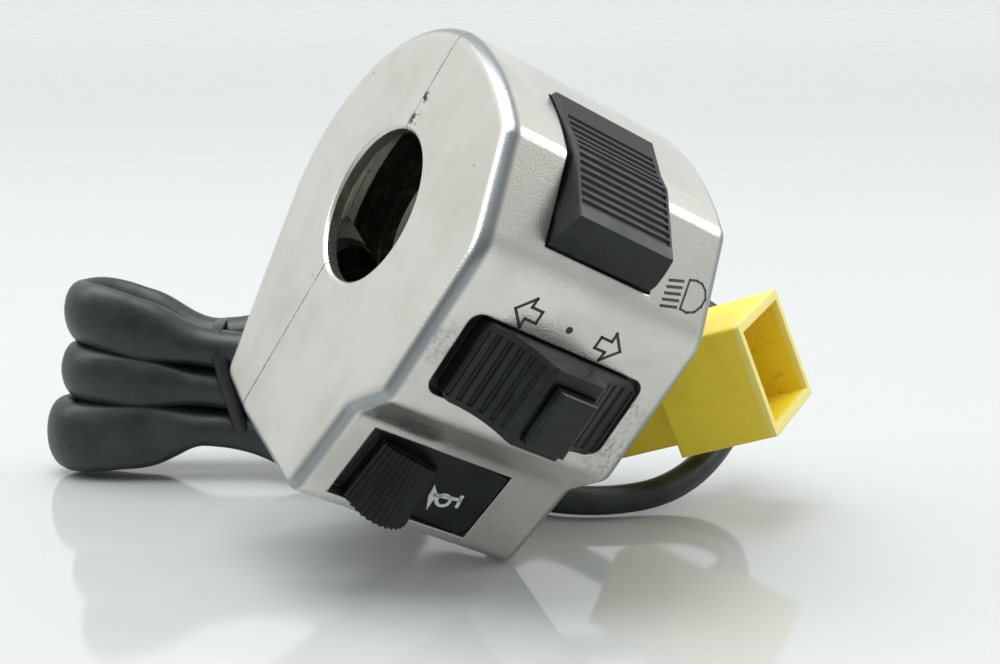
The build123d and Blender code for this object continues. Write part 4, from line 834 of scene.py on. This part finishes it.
def harness_route():
    """The thick sheath from inside the housing, round the tied loops, to its boot."""
    route = [top_strand(LEAD_JOINS), top_strand(HANK_START)]
    for level in range(len(WAIST_HEIGHTS)):
        route += left_turn(level)
        if level + 1 < len(WAIST_HEIGHTS):
            route += right_turn(level)
    route.append((WAIST_HALF, -STRAND_HALF_GAP, TAIL_WAIST_HEIGHT))
    route.append((SPREAD_AT, -LOOP_HALF, RIGHT_HEIGHTS[-1] + TAIL_DROP))
    route.append((TAIL_END, -LOOP_HALF, RIGHT_HEIGHTS[-1]))
    start = EXIT @ (Vector((0, 0, LEAD_START)) * MM)
    out = EXIT @ (Vector((0, 0, LEAD_OUT)) * MM)
    return [start, out, Vector(LEAD_SAG) * MM] + [hank_point(*point) for point in route]


def tail_point(beyond):
    """A point in line with the hank's tail, that many millimetres past its end."""
    last = hank_point(SPREAD_AT, -LOOP_HALF, RIGHT_HEIGHTS[-1] + TAIL_DROP)
    end = hank_point(TAIL_END, -LOOP_HALF, RIGHT_HEIGHTS[-1])
    return end + (end - last).normalized() * beyond * MM


def mouth_frame():
    """The connector's frame: +X out of its mouth."""
    x, y, z = MOUTH_TURN
    return at(*MOUTH_AT) @ turned(x, "X") @ turned(y, "Y") @ turned(z, "Z")


def connector_route():
    """The thin lead from the boot, round under the connector and back into its rear."""
    mouth = mouth_frame()
    tail = [tail_point(BOOT_LENGTH), tail_point(BOOT_LENGTH + BOOT_STRAIGHT)]
    middle = [Vector(point) * MM for point in CONNECTOR_ROUTE]
    rear = [mouth @ (Vector((x, 0, -REAR_DROP)) * MM) for x in (LEAD_END_X - LEAD_END_STRAIGHT, LEAD_END_X)]
    return tail + middle + rear


def cord_curve(name, points, steps):
    """One open NURBS spline led by its control points, in so many steps from each to the next."""
    data = bpy.data.curves.new(name, "CURVE")
    data.dimensions = "3D"
    data.resolution_u = steps
    spline = data.splines.new("NURBS")
    spline.points.add(len(points) - 1)
    for control, point in zip(spline.points, points):
        control.co = (*point, 1.0)
    spline.order_u = 3
    spline.use_endpoint_u = True
    spline.use_smooth = True
    return data


def lay_cord(name, points, diameter, material, replaced):
    """A round cord along its route."""
    data = cord_curve(name, points, CORD_STEPS)
    data.bevel_depth = diameter / 2
    data.bevel_resolution = CORD_ROUNDNESS
    data.use_fill_caps = True
    cord = link(name, data)
    give(cord, material)
    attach(cord, "housing")
    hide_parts(*replaced)
    return cord


def centreline(name, points):
    """The points that a route's spline runs through."""
    data = cord_curve(name, points, LINE_STEPS)
    holder = link(name, data)
    line = bpy.data.meshes.new_from_object(holder)
    places = [vertex.co.copy() for vertex in line.vertices]
    bpy.data.objects.remove(holder)
    bpy.data.curves.remove(data)
    bpy.data.meshes.remove(line)
    return places


def sleeve_section(place):
    """Half height and half width of the sheath there: pressed flat in the loops' left ends."""
    ux, uy = HANK_ALONG
    along = (place.x / MM - HANK_AT[0]) * ux + (place.y / MM - HANK_AT[1]) * uy
    pressed = min(max((-WAIST_HALF - along) / LOBE_RUN, 0.0), 1.0)
    pressed = pressed * pressed * (3 - 2 * pressed)
    height = place.z / MM - TABLE_Z
    level = min(range(len(LEFT_HEIGHTS)), key=lambda number: abs(LEFT_HEIGHTS[number] - height))
    tall, wide = WAIST_SECTION
    return tall + pressed * (LOBE_HALF_HEIGHTS[level] - tall), wide + pressed * (LOBE_HALF_WIDTH - wide)


def sleeve_rings(places):
    """For each point of the centreline, where its ring of the sheath lies."""
    rings = []
    for number, place in enumerate(places):
        before, after = places[max(number - 1, 0)], places[min(number + 1, len(places) - 1)]
        ahead = (after - before).normalized()
        up = (Vector((0, 0, 1)) - ahead * ahead.z).normalized()
        tall, wide = sleeve_section(place)
        turn = Matrix((up.cross(ahead) * wide * MM, up * tall * MM, ahead * MM)).transposed()
        rings.append(Matrix.Translation(place) @ turn.to_4x4())
    return rings


def sheath_sleeve(name, places, material):
    """The thick sheath: a ring drawn along the centreline, its section changing, slightly uneven."""
    bm = bmesh.new()
    rings = sleeve_rings(places)
    made = bmesh.ops.create_circle(bm, cap_ends=True, segments=SLEEVE_SIDES, radius=1.0, matrix=rings[0])
    edges = loop_of(made["verts"])
    for last, following in zip(rings, rings[1:]):
        verts, edges = grow(bm, edges)
        bmesh.ops.transform(bm, matrix=following @ last.inverted(), verts=verts)
    bmesh.ops.holes_fill(bm, edges=edges, sides=SLEEVE_SIDES)
    bm.normal_update()
    for vertex in bm.verts:
        swell = sum(noise.noise(vertex.co * per_metre(apart)) * high for apart, high in SWELLS)
        vertex.co += vertex.normal * swell * MM
    sleeve = finished_mesh(name, bm, Matrix(), material, "housing", smooth=True)
    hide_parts("harness_lead", "harness_hank")
    return sleeve


def strap_frame():
    """The strap's frame: +X across the bundle, +Y up, +Z along the loops, leaning a little."""
    ux, uy = HANK_ALONG
    middle = (WAIST_HEIGHTS[0] + WAIST_HEIGHTS[-1]) / 2
    axes = Matrix((Vector((-uy, ux, 0)), Vector((0, 0, 1)), Vector((ux, uy, 0)))).transposed()
    place = Matrix.Translation(hank_point(TIE_AT, 0, middle))
    return place @ axes.to_4x4() @ Matrix.Rotation(TIE_LEAN, 4, "X")


def squared(value):
    """A coordinate on the unit circle, moved out towards a rounded square."""
    return math.copysign(abs(value) ** STRAP_SQUARENESS, value)


def strap_turn(bm, settings):
    """The crowned strap round the bundle's waist: a rounded rectangle, widened through its profile."""
    half_wide = (STRAND_HALF_GAP + WAIST_SECTION[1]) * MM
    half_tall = ((WAIST_HEIGHTS[0] - WAIST_HEIGHTS[-1]) / 2 + WAIST_SECTION[0]) * MM
    made = bmesh.ops.create_circle(bm, cap_ends=False, segments=STRAP_SIDES, radius=1.0)
    rows = [{vertex: (squared(vertex.co.x), squared(vertex.co.y)) for vertex in made["verts"]}]
    first = edges = loop_of(made["verts"])
    for _ in STRAP_PROFILE[1:]:
        fresh, edges = grow(bm, edges)
        row = {}
        for vertex in fresh:
            source = min(rows[-1], key=lambda old: (old.co - vertex.co).length)
            row[vertex] = rows[-1][source]
        rows.append(row)
    for (across, rise), row in zip(STRAP_PROFILE, rows):
        out = rise * settings.tie_thickness
        for vertex, (x, y) in row.items():
            vertex.co = (x * (half_wide + out), y * (half_tall + out), across * settings.tie_width)
    bmesh.ops.bridge_loops(bm, edges=first + edges)
    bmesh.ops.transform(bm, matrix=strap_frame(), verts=bm.verts)


def shorten_spring(node):
    """Gives a push spring its own copy of its mesh."""
    piece = frame["nodes"][node]
    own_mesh(piece)


class SWITCH_OT_camera(bpy.types.Operator):
    """Sets the camera where the reference picture was taken"""
    bl_idname = "handlebar_switch.camera"
    bl_label = "Camera"

    def execute(self, context):
        data = bpy.data.cameras.new("camera")
        data.sensor_width = SENSOR_WIDTH
        data.lens = FOCAL_LENGTH
        data.clip_start, data.clip_end = CLIP
        camera = link("camera", data)
        right, back = Vector(CAMERA_RIGHT), -Vector(CAMERA_AHEAD)
        axes = Matrix((right, back.cross(right), back)).transposed()
        camera.matrix_world = at(*CAMERA_AT) @ axes.to_4x4()
        context.scene.camera = camera
        return {"FINISHED"}


class SWITCH_OT_harness(bpy.types.Operator):
    """Lays the thick sheath in its tied hank, and the thin lead round to the connector"""
    bl_idname = "handlebar_switch.harness"
    bl_label = "Harness"

    def execute(self, context):
        settings = context.scene.handlebar_harness
        sheath = soft_sheath(settings)
        places = centreline("harness_line", harness_route())
        thick = sheath_sleeve("harness_sheath", places, sheath)
        route = connector_route()
        thin = lay_cord("thin_lead", route, settings.lead_diameter, sheath, ("connector_lead",))
        bm = bmesh.new()
        strap_turn(bm, settings)
        vinyl = small_finish(*STRAP_FINISH)
        strap = finished_mesh("hank_strap", bm, Matrix(), vinyl, "housing", smooth=True)
        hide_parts("hank_tie")
        return {"FINISHED"}


class SWITCH_OT_looms(bpy.types.Operator):
    """Lays the taped looms inside the housing, from the contact bases to the harness"""
    bl_idname = "handlebar_switch.looms"
    bl_label = "Looms"

    def execute(self, context):
        settings = context.scene.handlebar_harness
        tape = small_finish(*TAPE_FINISH)
        for name, points in LOOMS.items():
            route = [LIE @ (Vector(point) * MM) for point in points]
            diameter = settings.loom_diameter
            wires = lay_cord(name + "_loom", route, diameter, tape, (name + "_wires",))
        return {"FINISHED"}


class SWITCH_OT_housing(bpy.types.Operator):
    """Finishes the two cast halves"""
    bl_idname = "handlebar_switch.housing"
    bl_label = "Housing"

    def execute(self, context):
        finish_nodes("alloy", silver_casting(context.scene.handlebar_housing))
        return {"FINISHED"}


class SWITCH_OT_controls(bpy.types.Operator):
    """Finishes the rocker, slider, cancel button and horn button"""
    bl_idname = "handlebar_switch.controls"
    bl_label = "Controls"

    def execute(self, context):
        finish_nodes("switch_black", moulded_black(context.scene.handlebar_controls))
        return {"FINISHED"}


class SWITCH_OT_connector(bpy.types.Operator):
    """Finishes the yellow connector"""
    bl_idname = "handlebar_switch.connector"
    bl_label = "Connector"

    def execute(self, context):
        finish_nodes("yellow_nylon", yellow_nylon(context.scene.handlebar_harness))
        return {"FINISHED"}


class SWITCH_OT_small_parts(bpy.types.Operator):
    """Finishes the screws, pins, springs, contacts, bases and rubber parts"""
    bl_idname = "handlebar_switch.small_parts"
    bl_label = "Small parts"

    def execute(self, context):
        for slot, row in SMALL_FINISHES.items():
            finish_nodes(slot, small_finish(*row))
        return {"FINISHED"}


class SWITCH_OT_springs(bpy.types.Operator):
    """Gives the cancel spring and the horn spring their own copies of their meshes"""
    bl_idname = "handlebar_switch.springs"
    bl_label = "Springs"

    def execute(self, context):
        shorten_spring("cancel_spring")
        shorten_spring("horn_spring")
        return {"FINISHED"}


class SWITCH_OT_marks(bpy.types.Operator):
    """Prints the turn arrows, the low-beam sign, the horn sign and the slider's chevron"""
    bl_idname = "handlebar_switch.marks"
    bl_label = "Marks"

    def execute(self, context):
        settings = context.scene.handlebar_controls
        # screen-printed enamel ink: thin, dull, slightly broken
        dark = mottled("printed_ink_dark", settings.mark_dark, FADED_DARK_INK, 0.5, *INK_NUMBERS)
        light = mottled("printed_ink_white", settings.mark_light, FADED_LIGHT_INK, 0.6, *INK_NUMBERS)
        width, thick = settings.line_width, settings.mark_thickness
        for name, points in (("turn_arrow_left", ARROW_LEFT), ("turn_arrow_right", ARROW_RIGHT)):
            bm = bmesh.new()
            outline(bm, points, width)
            print_mark(name, bm, FACE, thick, dark, "housing")
        bm = bmesh.new()
        bmesh.ops.create_circle(
            bm, cap_ends=True, segments=20, radius=CENTRE_DOT_R * MM, matrix=at(*CENTRE_DOT, 0)
        )
        print_mark("centre_dot", bm, FACE, thick, dark, "housing")
        bm = bmesh.new()
        for bar in BEAM_BARS:
            stroke(bm, bar, width)
        outline(bm, BEAM_LAMP, THIN_WEIGHT * width)
        print_mark("low_beam_sign", bm, FACET, thick, dark, "housing")
        bm = bmesh.new()
        flat_face(bm, HORN_BELL)
        stroke(bm, HORN_TUBE, TUBE_WEIGHT * width)
        stroke(bm, HORN_MOUTHPIECE, MOUTHPIECE_WEIGHT * width)
        print_mark("horn_sign_bell", bm, HORN_PLATE, thick, light, "horn")
        bm = bmesh.new()
        ring(bm, HORN_RING, HORN_RING_INNER, HORN_RING_OUTER)
        print_mark("horn_sign_ring", bm, HORN_PLATE, thick, light, "horn")
        bm = bmesh.new()
        stroke(bm, CHEVRON, THIN_WEIGHT * width)
        mirrored = SLIDER_SIDE @ Matrix.Scale(-1, 4, (0, 1, 0))
        print_mark("slider_chevron", bm, mirrored, thick, dark, "slider")
        return {"FINISHED"}


class SWITCH_OT_stage(bpy.types.Operator):
    """Builds the pale glossy floor, the surround and the soft lights"""
    bl_idname = "handlebar_switch.stage"
    bl_label = "Stage"

    def execute(self, context):
        settings = context.scene.handlebar_stage
        bm = bmesh.new()
        half = settings.floor_size / 2
        bmesh.ops.create_grid(bm, x_segments=1, y_segments=1, size=half, matrix=at(0, 0, TABLE_Z))
        mesh = bpy.data.meshes.new("floor")
        bm.to_mesh(mesh)
        bm.free()
        floor = link("floor", mesh)
        give(floor, polished_acrylic(settings))
        context.scene.world = pale_surround(settings)
        for name, spot, wide, strength_share in LAMPS:
            data = bpy.data.lights.new(name, "AREA")
            data.energy = settings.light * strength_share
            data.size = wide * MM
            lamp = link(name, data)
            towards = (-Vector(spot)).to_track_quat("-Z", "Y").to_matrix().to_4x4()
            lamp.matrix_world = at(*spot) @ towards
        context.scene.view_settings.view_transform = "Standard"
        return {"FINISHED"}


OPERATORS = (
    SWITCH_OT_camera,
    SWITCH_OT_harness,
    SWITCH_OT_looms,
    SWITCH_OT_housing,
    SWITCH_OT_controls,
    SWITCH_OT_connector,
    SWITCH_OT_small_parts,
    SWITCH_OT_springs,
    SWITCH_OT_marks,
    SWITCH_OT_stage,
)
SETTINGS = {
    "handlebar_housing": HousingSettings,
    "handlebar_controls": SwitchSettings,
    "handlebar_harness": HarnessSettings,
    "handlebar_stage": StageSettings,
}


class SWITCH_PT_panel(bpy.types.Panel):
    """Lists the switch's settings and the steps that build it"""
    bl_idname = "SWITCH_PT_panel"
    bl_label = "Handlebar Switch"
    bl_space_type = "VIEW_3D"
    bl_region_type = "UI"
    bl_category = "Handlebar Switch"

    def draw(self, context):
        for name, group in SETTINGS.items():
            box = self.layout.box()
            for setting in group.__annotations__:
                box.prop(getattr(context.scene, name), setting)
        for operator in OPERATORS:
            self.layout.operator(operator.bl_idname)


def register():
    for group in (*SETTINGS.values(), *OPERATORS, SWITCH_PT_panel):
        bpy.utils.register_class(group)
    for name, group in SETTINGS.items():
        setattr(bpy.types.Scene, name, PointerProperty(type=group))


def unregister():
    for name in SETTINGS:
        delattr(bpy.types.Scene, name)
    for group in reversed((*SETTINGS.values(), *OPERATORS, SWITCH_PT_panel)):
        bpy.utils.unregister_class(group)


def main():
    register()
    for operator in OPERATORS:
        group, step = operator.bl_idname.split(".")
        getattr(getattr(bpy.ops, group), step)()
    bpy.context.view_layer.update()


if __name__ == "__main__":
    main()
